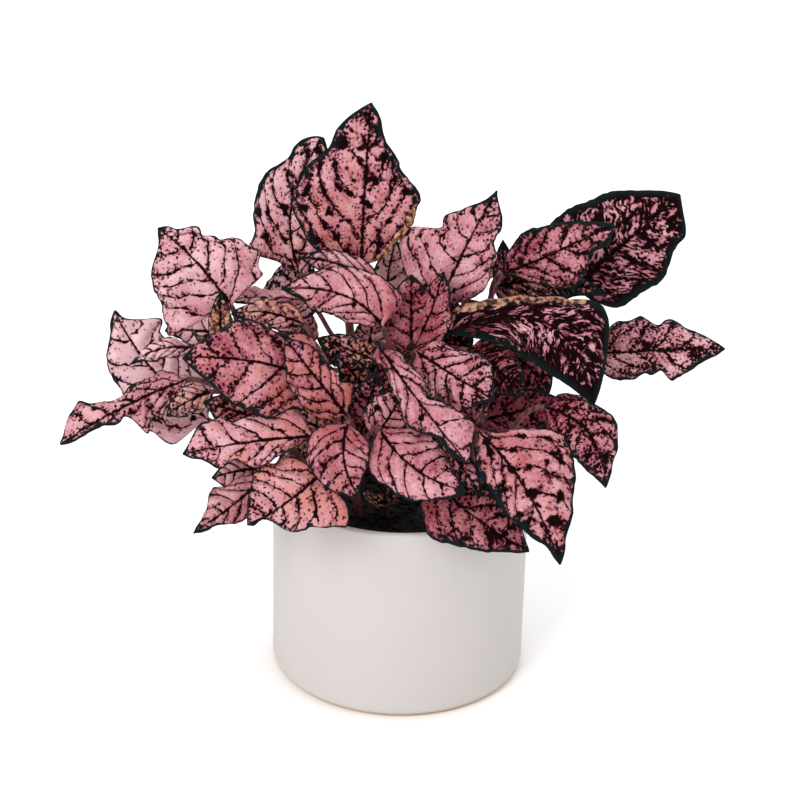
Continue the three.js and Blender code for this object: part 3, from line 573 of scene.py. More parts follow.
def unit(vectors):
    """Vectors at length 1."""
    return vectors / np.linalg.norm(vectors, axis=-1, keepdims=True)


def chord(spine):
    """The straight distance from a spine's root to its tip."""
    return np.linalg.norm(np.subtract(spine[2], spine[0]))


def on_parabola(spine, share):
    """Places and directions on the parabola through three points, at shares of its length."""
    start, middle, end = (np.asarray(point, float) for point in spine)
    u = share[:, None]
    place = start * (1 - u) * (1 - 2 * u) + middle * 4 * u * (1 - u) + end * u * (2 * u - 1)
    heading = start * (4 * u - 3) + middle * (4 - 8 * u) + end * (4 * u - 1)
    return place, unit(heading)


def half_width(leaf, side, u):
    """The width from midrib to edge: a rounded power curve, bumps as bell curves, and small ripples and
    nicks as sines."""
    number = 0 if side == "left" else 1
    widest, blunt = leaf["widest"][number], leaf["blunt"]
    rise = blunt * widest / (1 - widest)
    peak = widest ** rise * (1 - widest) ** blunt
    half = leaf[side] * u ** rise * (1 - u) ** blunt / peak
    for place, height, reach in leaf[side + "_bumps"]:
        half = half + height * np.exp(-(((u - place) / reach) ** 2))
    phase = leaf["phase"] + 2 * number
    half = half * (1 + ripple_height * np.sin(2 * pi * ripples_along * u + phase))
    coarse, fine = (2 * pi * number * chord(leaf["spine"]) * u for number in nicks_per_mm)
    nicks = np.sin(coarse + phase) + 0.7 * np.sin(fine + 2 * phase)
    half = half + leaf["nick"] * nicks * np.sin(pi * u)
    return np.maximum(half, least_half_width)


def blade_tube(leaf, rows, columns):
    """Rings round a blade, from its root to its tip. The middle sheet is the midrib's point, plus the
    half's width bent from the fold's angle by the curl's angle, plus waves that grow with the square of
    the distance from the midrib, plus the puffing: a sine of the side veins' cycle that is 0 at midrib
    and edge. A side vein climbs with its distance from the midrib and the square of it. Both faces stand
    off the sheet by half the thickness, which thins to the edge, with the ribs raised below and sunk
    above. Returns the tube, and the midrib's places and the directions along, facing and aside there."""
    u = np.linspace(0, 1, rows) ** row_crowding
    t = (np.sin(np.linspace(-pi / 2, pi / 2, columns)) * edge_crowding
         + np.linspace(-1, 1, columns) * (1 - edge_crowding))
    place, along = on_parabola(leaf["spine"], u)
    looks = unit(np.asarray(leaf["looks"], float))
    face = unit(looks - (along @ looks)[:, None] * along)
    side = np.cross(face, along)
    length = np.linalg.norm(np.diff(place, axis=0), axis=1).sum()
    share = np.abs(t)[None, :]
    hand = np.sign(t)[None, :]
    is_left = (t > 0)[None, :]
    half = np.where(is_left, half_width(leaf, "left", u)[:, None], half_width(leaf, "right", u)[:, None])
    fold, curl = radians(leaf["fold"]), radians(leaf["curl"])
    out = half * (np.sin(fold + curl * share) - np.sin(fold)) / curl
    up = half * (np.cos(fold) - np.cos(fold + curl * share)) / curl
    swell = np.sin(pi * u)[:, None] ** 0.7
    phase = leaf["phase"] + np.where(is_left, 0, 2.1)
    turn = 2 * pi * u[:, None]
    up = up + leaf["wave"] * share ** 2 * swell * np.sin(waves_along[0] * turn + phase)
    up = up + 0.25 * leaf["wave"] * share ** 3 * swell * np.sin(waves_along[1] * turn + 2 * phase)
    climb = leaf["climb"] * (vein_bend[0] * share + vein_bend[1] * share ** 2)
    start = (u[:, None] - climb) / (1 - climb)
    cycle = np.where(start > 0, start, 0.4 * start) * leaf["veins"]
    hollow = np.cos(2 * pi * (cycle + vein_stagger * hand))
    up = up - leaf["puff"] * (4 * share * (1 - share)) ** 0.8 * swell * hollow
    sheet = place[:, None, :] + side[:, None, :] * (hand * out)[..., None] + face[:, None, :] * up[..., None]
    normal = unit(np.cross(np.gradient(sheet, axis=0), np.gradient(sheet, axis=1)))
    normal = normal * np.sign((normal * face[:, None, :]).sum(-1))[..., None]
    normal[0], normal[-1] = face[0], face[-1]
    body = leaf["thickness"] / 2 * (1 - edge_thinning * share ** 8)
    middle = np.exp(-((share * half / midrib_half_width) ** 2)) * (1 - 0.7 * u[:, None])
    from_vein = 2.1 * (1 - hollow)
    ribs = side_rib_height * np.exp(-from_vein ** 2) * (1 - share) ** 0.5 * (1 - middle)
    above = sheet + normal * (body - midrib_sink * middle - 0.35 * ribs)[..., None]
    below = sheet - normal * (body + leaf["rib"] * middle + ribs)[..., None]
    above[:, [0, -1]] = sheet[:, [0, -1]]
    rings = np.concatenate([above, below[:, -2:0:-1]], 1)
    there_and_back = np.concatenate([np.arange(columns), np.arange(columns - 2, 0, -1)])

    def spread(*values):
        """Values given per point of the sheet, for both of its faces."""
        layers = [np.broadcast_to(value, sheet.shape[:2]) for value in values]
        return np.stack(layers, -1)[:, there_and_back]

    from_midrib = hand * share * half
    up_blade = np.gradient(cycle, axis=0) / np.gradient(u * length)[:, None]
    across = np.abs(np.gradient(t[None, :] * half, axis=1))
    across_half = np.gradient(cycle, axis=1) / np.maximum(across, 0.05)
    spacing = 1 / np.maximum(np.hypot(up_blade, across_half), 0.02)
    dry_side, dry_start, dry_end, dry_width = leaf["dry"]
    in_strip = ((t > 0) == (dry_side == "left"))[None, :] & (u > dry_start)[:, None] & (u < dry_end)[:, None]
    dry = np.where(in_strip, np.clip(1.5 - (1 - share) * half / dry_width, 0, 1), 0)
    traits = {
        "flat": spread(u[:, None] * length, from_midrib, 31.7 * leaf["seed"]),
        "veins": spread(cycle, from_midrib, (1 - share) * half),
        "ways": spread(u[:, None], t[None, :], spacing),
        "marks": spread(*leaf["marks"], leaf["gloss"]),
        "tints": spread(*leaf["tint"], dry),
    }
    slots = np.tile(np.arange(2 * columns - 2) >= columns - 1, (rows - 1, 1)).astype(int)
    midrib = {"place": place, "along": along, "face": face, "side": side}
    return {"rings": rings, "slots": slots, "traits": traits}, midrib


ordinary_leaf = dict(
    looks=(0, -0.75, 0.66), widest=(0.37, 0.37), blunt=0.86, fold=14, curl=-40, wave=1.4,
    left_bumps=[], right_bumps=[], nick=0.16, thickness=0.55, rib=0.9, puff=0.7, veins=5.3, climb=0.42,
    gloss=0.3, dry=("left", 0, 0, 1))


# The leaves. Each is a soft thin blade on a soft stalk that has grown out of the side of its own stem.
# They stand out from the stem on all sides, and nearly all are turned forwards and up to the light.
stem_foot_radius = 2.3
stem_tip_radius = 1.7


def shoot(spine, *young, marks=(0.02, 0, 0.4), tint=(0.75, 0.15)):
    """A stem's values: the spine's foot, middle and tip, its young leaves, and their marks and tint, as for
    a grown leaf but for the brown. Each young leaf has its heading and climb in degrees, its length, the
    share of it that each half is wide, and its brown."""
    return {"spine": spine, "young": young, "marks": marks, "tint": tint}


def grow(joins, spine, left, right, marks, tint, **own):
    """A leaf's values. It joins the stem at a share of the stem's length. The spine is the midrib's root,
    middle and tip, and left and right are the halves' widths with the tip held away. The marks are the ink
    for flecks, the blotch and the margin's width, and the tint is depth of pink, warm and brown. The depth
    of pink and the ink are partly the leaf's own colour and partly painted light and shade: on some leaves a
    deeper pink and more ink are painted shade, and on some leaves in shadow a paler pink and less ink are
    painted light. Of the values that may differ from the ordinary ones, looks is the way the upper face
    turns, a bump is a place along the edge, its height and its reach, and a dry strip is its side, start,
    end and width. The phase shifts the waves and is the leaf's number on its stem unless given."""
    return {**ordinary_leaf, **own, "joins": joins, "spine": spine, "left": left, "right": right,
            "marks": marks, "tint": tint}


stems = {
    "centre": shoot(
        [(0, -4, 66), (3, -7, 110), (3, -5, 149)], (35, 64, 37, 0.36, 0), (94, 69, 33, 0.38, 0),
        (-20, 38, 17, 0.34, 0), (205, 12, 12, 0.38, 0), (270, 60, 8, 0.3, 0),
        marks=(0.24, 0.1, 0.5), tint=(0.85, 0.15)),
    "front": shoot(
        [(-12, -20, 66), (-20, -32, 98), (-24, -39, 125)], (100, 55, 12, 0.42, 0), (205, 45, 9, 0.3, 0.8)),
    "left": shoot(
        [(-22, 2, 66), (-52, -5, 108), (-76, -9, 149)], (100, 86, 27, 0.2, 0.9), (172, 30, 16, 0.24, 0.9),
        (265, 60, 11, 0.3, 0), (325, 32, 13, 0.3, 0)),
    "top": shoot(
        [(-10, 12, 66), (-20, 15, 120), (-25, 19, 171)], (40, 60, 12, 0.24, 0), (170, 50, 15, 0.24, 0),
        (280, 64, 11, 0.24, 0)),
    "right": shoot(
        [(20, 8, 66), (42, 16, 108), (62, 24, 148)], (30, 62, 12, 0.24, 0), (150, 60, 15, 0.24, 0),
        (260, 60, 12, 0.24, 0)),
    "corner": shoot(
        [(16, -16, 66), (26, -28, 100), (31, -36, 130)], (60, 60, 13, 0.24, 0), (150, 42, 21, 0.34, 0),
        (290, 64, 10, 0.24, 0)),
    "rear_left": shoot(
        [(-18, 26, 66), (-34, 38, 98), (-43, 45, 130)], (105, 22, 32, 0.24, 0), (165, 40, 30, 0.24, 0),
        (270, 60, 14, 0.24, 0), (-12, -38, 17, 0.38, 0.6)),
    "rear_right": shoot(
        [(12, 28, 66), (22, 45, 110), (27, 54, 157)], (75, 20, 34, 0.24, 0), (140, 30, 30, 0.24, 0),
        (20, 25, 28, 0.24, 0)),
    "sprout": shoot(
        [(-5, -22, 66), (-6, -24, 78), (-7, -26, 87)], (10, 35, 14, 0.34, 0.7), (85, 55, 11, 0.3, 0.7),
        (165, 30, 14, 0.34, 0.7), (225, 25, 12, 0.34, 0.7), (300, 30, 12, 0.34, 0.7),
        marks=(0.25, 0, 0.4), tint=(0.75, 0.7)),
}

# Each leaf's tint and ink are partly its own colour and partly painted light and shade. Deeper pink and more
# ink paint shade onto some leaves, and paler pink and less ink paint light onto some that lie in shadow.
leaves = {"top": [
    grow(0.97, [(-19, 18, 176), (-18, 24, 209), (-16, 30, 245)], 30, 20, (0.28, 0.56, 1.3), (0.45, 0.3, 0),
         looks=(0.1, -1, 0.3), widest=(0.42, 0.42), fold=10, curl=-25, phase=0,
         left_bumps=[(0.73, -6, 0.09)], right_bumps=[(0.47, 4.6, 0.07), (0.63, -2.5, 0.06),
         (0.8, -4.5, 0.12), (0.33, 1.8, 0.1)], gloss=0.2, climb=0.72, veins=4.3,
         dry=("right", 0.04, 0.4, 3.8)),
    grow(0.9, [(-45, 26, 170), (-49, 36, 197), (-36, 42, 225)], 17, 20, (0.16, 0.45, 1), (0.16, 0.25, 0),
         looks=(-0.4, -1, 0.3), blunt=0.7, fold=10, curl=-20, phase=0, left_bumps=[(0.22, 5.5, 0.06),
         (0.1, -6, 0.06), (0.6, 1.8, 0.08), (0.78, -4, 0.09), (0.85, 2, 0.15)], gloss=0.2, climb=0.6,
         veins=4.6),
    grow(0.84, [(-12, 4, 177), (-30, 11, 181), (-45, 18, 180)], 6, 6, (0, 0.15, 0.8), (0.3, 0.2, 0.1),
         looks=(0, -0.9, 0.4), wave=2, phase=1, gloss=0.2),
    grow(0.72, [(-42, 14, 162), (-58, 10, 165), (-73, 6, 165)], 9, 9, (-0.1, 0.1, 0.6), (0.3, 0.1, 0.1),
         looks=(0, -0.15, 1), phase=2, right_bumps=[(0.75, 3, 0.15)], gloss=0.2),
], "left": [
    grow(0.95, [(-72.3, -2, 166), (-86.2, 3, 182.4), (-103, 8, 196)], 28, 21.5, (0.12, 0.12, 0.7),
         (0.12, 0.05, 0), looks=(-0.1, -0.74, 0.66), widest=(0.3, 0.36), wave=2, phase=0,
         left_bumps=[(0.8, 1.5, 0.06), (0.9, -2.2, 0.07), (0.42, -4, 0.12), (0.08, 5, 0.1)],
         right_bumps=[(0.53, -4.5, 0.06), (0.3, -2.7, 0.07), (0.65, -6.5, 0.08), (0.85, -4, 0.08),
         (0.08, 2.5, 0.1), (0.05, 4, 0.05), (0.25, 4.5, 0.08)], gloss=0.2, climb=0.5),
    grow(0.7, [(-82, -6, 115), (-107, 6, 133), (-123, 16, 155)], 20.5, 16, (-0.04, 0.1, 0.7),
         (-0.08, 0, 0), looks=(-0.1, -0.65, 0.75), phase=3, left_bumps=[(0.52, -3.5, 0.12),
         (0.85, -2.5, 0.08), (0.05, 5, 0.07), (0.12, 2, 0.06)], right_bumps=[(0.77, 6.5, 0.07),
         (0.92, -2, 0.05)], gloss=1),
    grow(0.8, [(-90, -18, 139), (-115, -24, 129), (-142, -26, 112)], 9, 8, (0.21, 0.2, 0.9),
         (0.35, 0.05, 0.05), looks=(0, -0.5, 0.8), widest=(0.3, 0.3), wave=2, phase=0,
         left_bumps=[(0.3, 2.5, 0.06), (0.42, 7.5, 0.04), (0.52, -2, 0.05), (0.72, -5, 0.12),
         (0.8, 1.5, 0.2)], right_bumps=[(0.9, 7.5, 0.07), (0.79, 10, 0.07), (0.66, 3, 0.06),
         (0.16, 4, 0.06)]),
    grow(0.93, [(-89, -8, 149), (-101, -12, 150), (-114, -10, 142)], 5, 5, (-0.15, 0.08, 0.6), (0, 0, 0),
         looks=(0, -0.6, 0.8), phase=1),
    grow(0.4, [(-56, -48, 110), (-69, -55, 100), (-84, -60, 90)], 9.5, 8.5, (-0.06, 0.1, 0.6),
         (0.42, 0.05, 0.15), looks=(-0.2, -0.72, 0.66), phase=2, left_bumps=[(0.7, -3, 0.2)],
         right_bumps=[(0.55, 4, 0.15)], gloss=0.2),
    grow(0.46, [(-57, -34, 107), (-68, -37, 107), (-78, -40, 105)], 9.5, 5.5, (-0.3, 0, 0.4),
         (0.4, 0.05, 0), phase=4, gloss=0.2),
    grow(0.6, [(-58, -39, 131.5), (-70, -40, 136.5), (-81, -41, 140)], 7.5, 7.5, (0.3, 0.2, 0.8),
         (0.75, 0.15, 0.25), phase=0, gloss=0.2),
    grow(0.66, [(-42, -6, 160), (-57, -6, 165), (-72, -6, 164)], 7.5, 7.5, (0.1, 0.12, 0.8),
         (0.35, 0.6, 0.55), looks=(0, -0.6, 0.8), phase=3, gloss=0.1),
    grow(0.75, [(-79, -29, 139), (-89, -31, 135), (-97, -32, 129)], 6.5, 6.5, (0.05, 0.1, 0.7),
         (0.1, 0.4, 0.45), wave=2, phase=0, gloss=0.1),
], "front": [
    grow(0.8, [(-30, -34, 146), (-59, -40, 158), (-89, -42, 160)], 22, 20, (0.25, 0.17, 1.3),
         (0.68, 0.35, 0), looks=(-0.1, -0.8, 0.7), left_bumps=[(0.2, -4, 0.1)],
         right_bumps=[(0.68, 1.5, 0.07), (0.36, -5, 0.12)]),
    grow(0.98, [(-23, -43, 137), (-36, -43, 154), (-48, -36, 167)], 12, 13, (0.16, 0.12, 0.7),
         (0.82, 0.45, 0), right_bumps=[(0.5, -4.4, 0.2), (0.28, -4, 0.08)]),
    grow(0.74, [(-22, -54, 138), (-23, -63, 126), (-17, -68, 113)], 11, 15.5, (0.02, 0.08, 0.7),
         (0.66, 0.2, 0), gloss=0.5),
    grow(0.86, [(-36, -50, 130), (-61, -56, 130), (-88, -58, 125)], 12, 12, (0.06, 0.1, 0.7),
         (0.32, 0.5, 0), looks=(0, -0.66, 0.75), widest=(0.6, 0.4), left_bumps=[(0.86, -3.5, 0.08),
         (0.63, -4.5, 0.09)], right_bumps=[(0.86, 6.5, 0.08), (0.72, 5, 0.08), (0.18, 4, 0.14),
         (0.1, 4, 0.12)]),
    grow(0.55, [(-32, -60, 119), (-46, -70, 110), (-61, -76, 103)], 20.5, 18, (0.17, 0.13, 0.9),
         (0.3, 0.6, 0), looks=(0, -0.66, 0.75), widest=(0.25, 0.4), left_bumps=[(0.78, -9, 0.13),
         (0.45, -5, 0.12), (0.2, 3, 0.08)], right_bumps=[(0.85, 2.5, 0.1), (0.6, 3, 0.15), (0.12, 5, 0.1),
         (0.45, 2, 0.12)]),
    grow(0.87, [(-9, -50, 134), (5, -62, 123), (26, -66, 115)], 15.5, 14, (0.05, 0.14, 0.9),
         (0.52, 0.1, 0), looks=(0, -0.66, 0.75), left_bumps=[(0.65, 2.3, 0.12), (0.34, 1.5, 0.06),
         (0.08, -2.5, 0.06)], right_bumps=[(0.08, -3, 0.06)]),
    grow(0.91, [(-17, -31, 122.5), (-14, -30, 136.2), (-11, -26, 148.9)], 9, 8, (0.36, 0.3, 0.9),
         (0.8, 0.1, 0), looks=(0, -0.9, 0.5), phase=2, gloss=0.2),
    grow(0.66, [(-10.7, -43, 126.7), (-4.8, -41, 136.8), (2.2, -39, 147.7)], 11, 10, (0.1, 0.2, 0.9),
         (0.4, 0.2, 0.1), phase=3, gloss=0.2),
], "centre": [
    grow(0.93, [(-9.4, -9, 161.2), (-25.9, -3, 172.5), (-52, 6, 170.8)], 10, 14.5, (-0.08, 0.1, 0.8),
         (0.42, 0.15, 0), looks=(-0.2, -0.9, 0.6), widest=(0.45, 0.3), left_bumps=[(0.74, 2.2, 0.07)],
         right_bumps=[(0.1, 3, 0.08)], climb=0.5),
    grow(0.9, [(14, 8, 164), (25, 16, 188), (37, 24, 210)], 27, 17, (0.12, 0.12, 0.8), (0.38, 0, 0),
         looks=(-0.1, -0.74, 0.66), widest=(0.33, 0.42), blunt=1.1, left_bumps=[(0.34, 1, 0.05),
         (0.44, 2, 0.04), (0.54, -8, 0.07), (0.72, -5.5, 0.13), (0.88, -3, 0.08)],
         right_bumps=[(0.43, -3, 0.08), (0.62, -4, 0.1)], gloss=0.4, climb=0.46),
    grow(0.82, [(16, -5, 156), (57, -11, 166), (79, -20, 133)], 17, 18, (0.8, 0.3, 4.4), (0.45, 0, 0),
         looks=(0.2, -1, 0.6), widest=(0.55, 0.55), left_bumps=[(0.28, -4, 0.08), (0.42, -6, 0.1),
         (0.56, -3, 0.06), (0.72, 4, 0.1), (0.08, 5, 0.06), (0.66, 3, 0.1)], climb=0.5,
         dry=("left", 0.03, 0.62, 3.2)),
    grow(0.97, [(-11.5, -22, 160), (4, -46, 148), (26, -60, 125)], 13, 8.5, (-0.03, 0.1, 0.8), (0.5, 0, 0),
         looks=(0.2, -0.7, 0.8), widest=(0.65, 0.65), left_bumps=[(0.88, 6, 0.09), (0.57, -8, 0.1),
         (0.16, 3.5, 0.08)], right_bumps=[(0.8, -4.5, 0.08), (0.6, 2, 0.07), (0.14, 4.5, 0.07)],
         gloss=0.5),
    grow(0.94, [(5, -14, 152.5), (21.5, -24, 146), (37, -33, 140.5)], 16, 14, (0.24, 0.12, 1),
         (0.44, 0.1, 0), left_bumps=[(0.24, -4.5, 0.12), (0.42, -2.5, 0.1), (0.72, 2.5, 0.12)],
         right_bumps=[(0.79, 2.4, 0.08), (0.24, -3.5, 0.1)], gloss=0.4),
    grow(0.75, [(26, -8, 151), (39, -14, 145), (50, -17, 135)], 12, 12, (0.72, 0.4, 0.9), (0.95, 0.1, 0.1),
         gloss=0.2),
    grow(0.88, [(-12, -14, 148), (-23.8, -8, 150.4), (-36.5, -3, 152.8)], 10, 7, (0.4, 0.25, 0.8),
         (0.6, 0.8, 0.65), looks=(0, -0.8, 0.6), gloss=0.1),
    grow(0.6, [(-13, -25, 136), (-20, -21, 144), (-28, -17, 152)], 7, 7, (0.34, 0.2, 0.8), (0.8, 0.4, 0.4),
         looks=(0, -0.8, 0.6), gloss=0.1),
], "right": [
    grow(0.97, [(71, 36, 161), (94, 46, 179), (117, 54, 199)], 27, 21, (0.73, 0.42, 4.6), (0.42, 0.05, 0),
         looks=(0, -0.9, 0.4), widest=(0.36, 0.48), left_bumps=[(0.18, 4.5, 0.1)],
         right_bumps=[(0.86, 2, 0.07), (0.5, 2, 0.12), (0.15, 5, 0.1), (0.3, 1.5, 0.15),
         (0.84, 1.5, 0.09)], climb=0.34),
    grow(0.8, [(41, 20, 174), (63, 24, 183), (87, 30, 194)], 13, 18, (0.34, 0.28, 1.4), (0.6, 0, 0),
         widest=(0.4, 0.6), left_bumps=[(0.4, 1.5, 0.3)], right_bumps=[(0.76, -8.5, 0.13)]),
    grow(0.85, [(73, 16, 139), (105, 18, 141), (137, 20, 142)], 13, 13, (0.42, 0.3, 1.2), (0.38, 0.05, 0),
         looks=(0, -0.66, 0.75), widest=(0.55, 0.55), left_bumps=[(0.46, 6, 0.07), (0.3, 5, 0.1),
         (0.57, -1, 0.03), (0.66, 3, 0.07)], right_bumps=[(0.55, -3.5, 0.05), (0.45, -3, 0.04),
         (0.24, 4, 0.1), (0.62, 2.5, 0.05), (0.83, -2.5, 0.1)]),
    grow(0.7, [(40, 0, 148), (52, -3, 142), (61, -7, 131)], 12, 12, (0.3, 0.2, 0.9), (0.95, 0.1, 0.1),
         gloss=0.2),
    grow(0.75, [(40, 34, 162), (61, 31, 167), (85, 26, 163)], 8.5, 8.5, (0.6, 0.3, 1.2), (0.55, 0.4, 0.45),
         gloss=0.1),
], "corner": [
    grow(0.97, [(31, -44, 131), (50, -60, 114), (65, -70, 85)], 26, 13, (0.08, 0.48, 1.6), (0.46, 0.25, 0),
         looks=(0.1, -0.74, 0.66), widest=(0.36, 0.4), left_bumps=[(0.09, -12, 0.07), (0.2, -3, 0.06),
         (0.7, -3.5, 0.1), (0.87, -3.5, 0.08), (0.6, 1.2, 0.3)], right_bumps=[(0.88, -2.5, 0.07)],
         climb=0.54),
    grow(0.42, [(58, -30, 136), (76, -37, 128), (84, -42, 106)], 13, 14, (0.46, 0.35, 1.1), (0.62, 0, 0),
         looks=(0.2, -0.72, 0.66), left_bumps=[(0.34, -2.6, 0.1), (0.55, 2.2, 0.1), (0.84, -1.5, 0.08),
         (0.5, 1, 0.3)]),
    grow(0.6, [(13, -42, 107), (32, -56, 97), (53, -56, 83)], 13, 14, (0.42, 0.4, 1.3), (0.78, 0.1, 0.05),
         left_bumps=[(0.85, 3, 0.1)], right_bumps=[(0.28, 5, 0.12), (0.08, 4, 0.05), (0.8, -2, 0.12)]),
    grow(0.8, [(17, -46, 127), (25, -50, 117), (33, -52, 106)], 6, 5, (0.2, 0.1, 0.9), (0.5, 0, 0.1),
         looks=(0.2, -0.9, 0.4), gloss=0.2),
], "rear_left": [
    grow(0.97, [(-49.8, 38, 142.8), (-47.2, 46, 154.5), (-45, 54, 170.1)], 15, 11, (0.3, 0.25, 1),
         (0, 0.1, 0), looks=(-0.1, -0.8, 0.6), phase=0),
    grow(0.9, [(-73.8, 32, 136.3), (-88.3, 31, 139.7), (-103.2, 28, 140.6)], 8, 13.5, (-0.3, 0.04, 0.7),
         (-0.1, 0.05, 0), looks=(0, -0.8, 0.6), phase=1),
    grow(0.8, [(-16.4, 30, 128.2), (-14.9, 34, 136.9), (-13, 40, 147.1)], 8.5, 9.5, (0, 0.05, 0.8),
         (0.5, 0.05, 0), looks=(0, -0.85, 0.5), phase=2),
    grow(0.6, [(-46, 54, 114), (-66, 72, 106), (-84, 88, 90)], 16, 18, (0.3, 0.25, 1), (0.4, 0.2, 0),
         looks=(0, 0.5, 1), phase=3),
    grow(0.5, [(-28.4, 8, 100.1), (-39.4, 12, 105.5), (-54.8, 18, 109.9)], 14, 9, (0.2, 0.12, 0.8),
         (0.45, 0.6, 0), looks=(0, -0.75, 0.65), phase=4),
], "rear_right": [
    grow(0.52, [(14, 33, 123.8), (18.4, 36, 138.3), (20.6, 42, 153.3)], 10, 13, (0.55, 0.35, 1),
         (0.85, 0.05, 0), looks=(0, -0.85, 0.5), phase=5),
    grow(0.9, [(47.6, 48, 146.7), (43.1, 50, 161.3), (41.8, 54, 176)], 6, 7, (0.1, 0.1, 1), (0.4, 0, 0),
         looks=(0, -0.85, 0.5), phase=6),
    grow(0.84, [(-4.9, 44, 127.9), (-8.1, 50, 152), (-4.3, 57, 174.6)], 9, 11, (-0.1, 0.08, 0.8),
         (0.12, 0.1, 0.05), looks=(0, -0.9, 0.4), phase=7, right_bumps=[(0.4, 6, 0.2)]),
    grow(0.6, [(30, 58, 116), (46, 76, 108), (58, 92, 92)], 17, 17, (0.26, 0.2, 1), (0.5, 0.2, 0),
         looks=(0, 0.5, 1), phase=1),
    grow(0.3, [(27.9, 0, 112.2), (48.8, -1, 119.8), (71.2, -4, 125.1)], 11.5, 11, (0.36, 0.3, 1),
         (1, 0.1, 0), looks=(0, -0.7, 0.7), phase=2, left_bumps=[(0.3, 2.5, 0.15)],
         right_bumps=[(0.7, 2.5, 0.2)]),
    grow(0.34, [(-11.5, 18, 109.1), (-11.8, 21, 118.2), (-10.8, 26, 132.1)], 13, 9, (0.5, 0.3, 1),
         (0.95, 0.1, 0), looks=(0, -0.85, 0.5), phase=3),
]}

stalk_radius = 1.1
stalk_edge = 0.45
stalk_flattening = 0.8
stalk_sweep = 0.9
stalk_rows = 14
clearance = 0.3
neck_share = 0.07
long_blade = 34


def stem_radius(share):
    """The radius of a stem, which thins evenly from foot to tip."""
    return stem_foot_radius + (stem_tip_radius - stem_foot_radius) * share


def oval(line, sides, faces, columns):
    """Rings of a stalk's section: round at the sides, blunt at the edge and flatter on top."""
    turn = pi / 2 * np.linspace(-1, 1, columns)
    out = stalk_radius * np.sin(turn)
    rise = stalk_edge + (stalk_radius - stalk_edge) * np.cos(turn)
    out = np.concatenate([out, out[-2:0:-1]])
    rise = np.concatenate([stalk_flattening * rise, -rise[-2:0:-1]])
    return line[:, None] + sides[:, None] * out[None, :, None] + faces[:, None] * rise[None, :, None]


def stalk_rings(leaf, midrib, rows, columns):
    """Rings of a stalk: a smooth cubic from the stem's side to the blade's root, with an oval section.
    The side vector is carried back along it, always square to it."""
    place, along, side = (midrib[name][0] for name in ("place", "along", "side"))
    spot, heading = on_parabola(stems[leaf["stem"]]["spine"], np.array([leaf["joins"]]))
    outward = place - spot[0]
    outward = unit(outward - outward @ heading[0] * heading[0])
    start = spot[0] + outward * (stem_radius(leaf["joins"]) + clearance)
    reach = stalk_sweep * np.linalg.norm(place - start)
    h = np.linspace(0, 1, rows)[:, None]
    line = (start * (2 * h**3 - 3 * h**2 + 1) + outward * reach * (h**3 - 2 * h**2 + h)
            + place * (3 * h**2 - 2 * h**3) + along * reach * (h**3 - h**2))
    way = unit(start * (6 * h**2 - 6 * h) + outward * reach * (3 * h**2 - 4 * h + 1)
               + place * (6 * h - 6 * h**2) + along * reach * (3 * h**2 - 2 * h))
    sides = [side]
    for heading in way[::-1]:
        sides.append(unit(sides[-1] - sides[-1] @ heading * heading))
    sides = np.array(sides[:0:-1])
    return oval(line, sides, np.cross(way, sides), columns)


def whole_leaf(leaf):
    """A blade's tube with its stalk's rings before it, eased into each other over the blade's root."""
    rows, columns = (66, 37) if chord(leaf["spine"]) > long_blade else (42, 25)
    blade, midrib = blade_tube(leaf, rows, columns)
    u = blade["traits"]["ways"][:, :1, 0]
    grown = np.clip(u / neck_share, 0, 1)[..., None]
    grown = grown * grown * (3 - 2 * grown)
    neck = oval(midrib["place"], midrib["side"], midrib["face"], columns)
    rings = neck * (1 - grown) + blade["rings"] * grown
    stalk = stalk_rings(leaf, midrib, stalk_rows, columns)[:-1]
    traits = {name: np.concatenate([np.repeat(values[:1], len(stalk), 0), values])
              for name, values in blade["traits"].items()}
    slots = np.concatenate([np.full((len(stalk), rings.shape[1]), stem_slot), blade["slots"]])
    return {"rings": np.concatenate([stalk, rings]), "slots": slots, "traits": traits}


named_leaves = [(f"{stem}_{order}", {"phase": order, **row, "stem": stem})
                for stem, rows in leaves.items() for order, row in enumerate(rows, 1)]
for number, (name, row) in enumerate(named_leaves):
    piece = make_piece("blade_" + name, [whole_leaf({**row, "seed": number})], blade_materials)
    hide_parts("leaf_" + name)


# The stems with their young leaves. Each stem is a tapering shoot with a slight swelling where each leaf
# stands, and it ends in a tuft of small, still folded leaves that are grown together with it.
stem_rows = 70
stem_columns = 18
swelling = 0.22
swelling_share = 0.025
tip_rounding = (0.96, 0.8, 0.45)


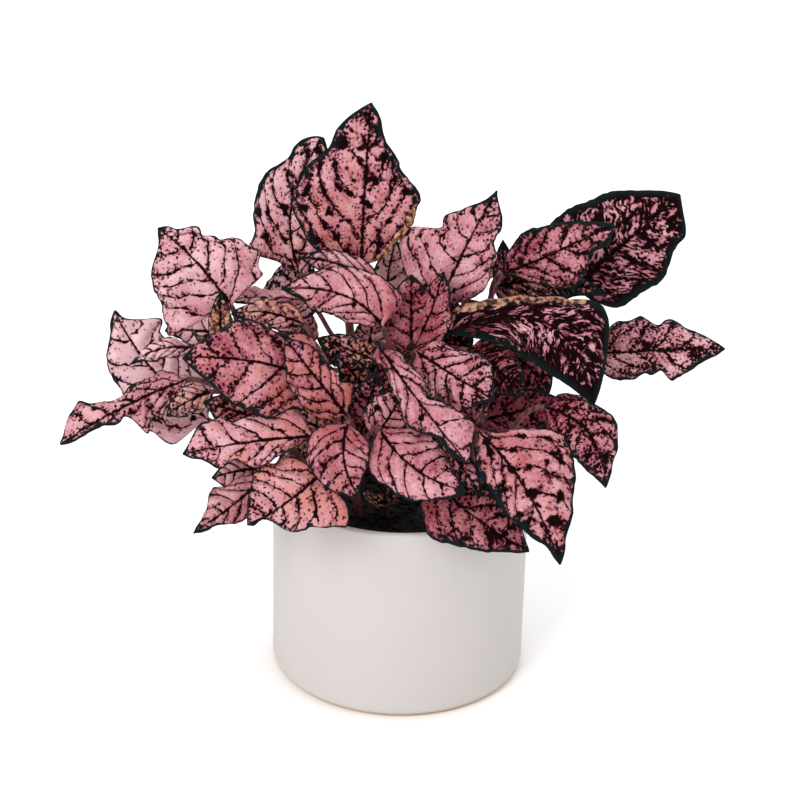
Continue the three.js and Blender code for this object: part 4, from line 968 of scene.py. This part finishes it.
def stem_tube(stem, joins):
    """Rings along a stem's parabola. The radius thins evenly and swells in a bell curve at each leaf."""
    share = np.linspace(0, 1, stem_rows)
    place, along = on_parabola(stem["spine"], share)
    across = unit(np.cross([0.0, 1.0, 0.1], along))
    front = np.cross(along, across)
    radius = stem_radius(share)
    for join in joins:
        radius = radius + swelling * np.exp(-(((share - join) / swelling_share) ** 2))
    radius[-3:] = radius[-3:] * tip_rounding
    angle = np.linspace(0, 2 * pi, stem_columns, endpoint=False)
    ring = across[:, None] * np.cos(angle)[None, :, None] + front[:, None] * np.sin(angle)[None, :, None]
    traits = {name: np.zeros((stem_rows, stem_columns, width)) for name, width in
              (("flat", 3), ("veins", 3), ("ways", 3), ("marks", 4), ("tints", 4))}
    return {"rings": place[:, None] + ring * radius[:, None, None], "slots": stem_slot, "traits": traits}


young_sag = 0.06
young_root_depth = 1.2
young_root_inset = 0.4
long_young = 20
first_young_seed = 60


def young_leaf(tip, heading, climb, length, width, marks, tint, seed):
    """A small blade whose root is sunk into the stem's tip, given by heading and climb in degrees. The
    width of each half is a share of the length."""
    turn, rise = radians(heading), radians(climb)
    out = np.array([np.cos(turn), np.sin(turn), 0])
    along = np.array([*(out[:2] * np.cos(rise)), np.sin(rise)])
    face = np.array([*(-out[:2] * np.sin(rise)), np.cos(rise)])
    root = tip - along * young_root_depth - out * young_root_inset
    middle = root + along * length / 2 - face * young_sag * length
    return grow(1, [root, middle, root + along * length], width * length, width * length, marks, tint,
                looks=face, wave=0.02 * length, phase=heading / 30, nick=0.05, puff=0.012 * length, rib=0.5,
                thickness=0.5, veins=4.3, seed=seed)


for number, (name, stem) in enumerate(stems.items()):
    tubes = [stem_tube(stem, [row["joins"] for row in leaves.get(name, [])])]
    tip = np.array(stem["spine"][2], float)
    for order, (heading, climb, length, width, brown) in enumerate(stem["young"]):
        young = young_leaf(tip, heading, climb, length, width, stem["marks"], (*stem["tint"], brown),
                           first_young_seed + 5 * number + order)
        rows, columns = (40, 17) if length > long_young else (22, 13)
        tubes.append(blade_tube(young, rows, columns)[0])
    piece = make_piece("shoot_" + name, tubes, blade_materials)
    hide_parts("stem_" + name)


def corners(box):
    """A box's two corners as plain lists of numbers."""
    return [[float(value) for value in corner] for corner in box]
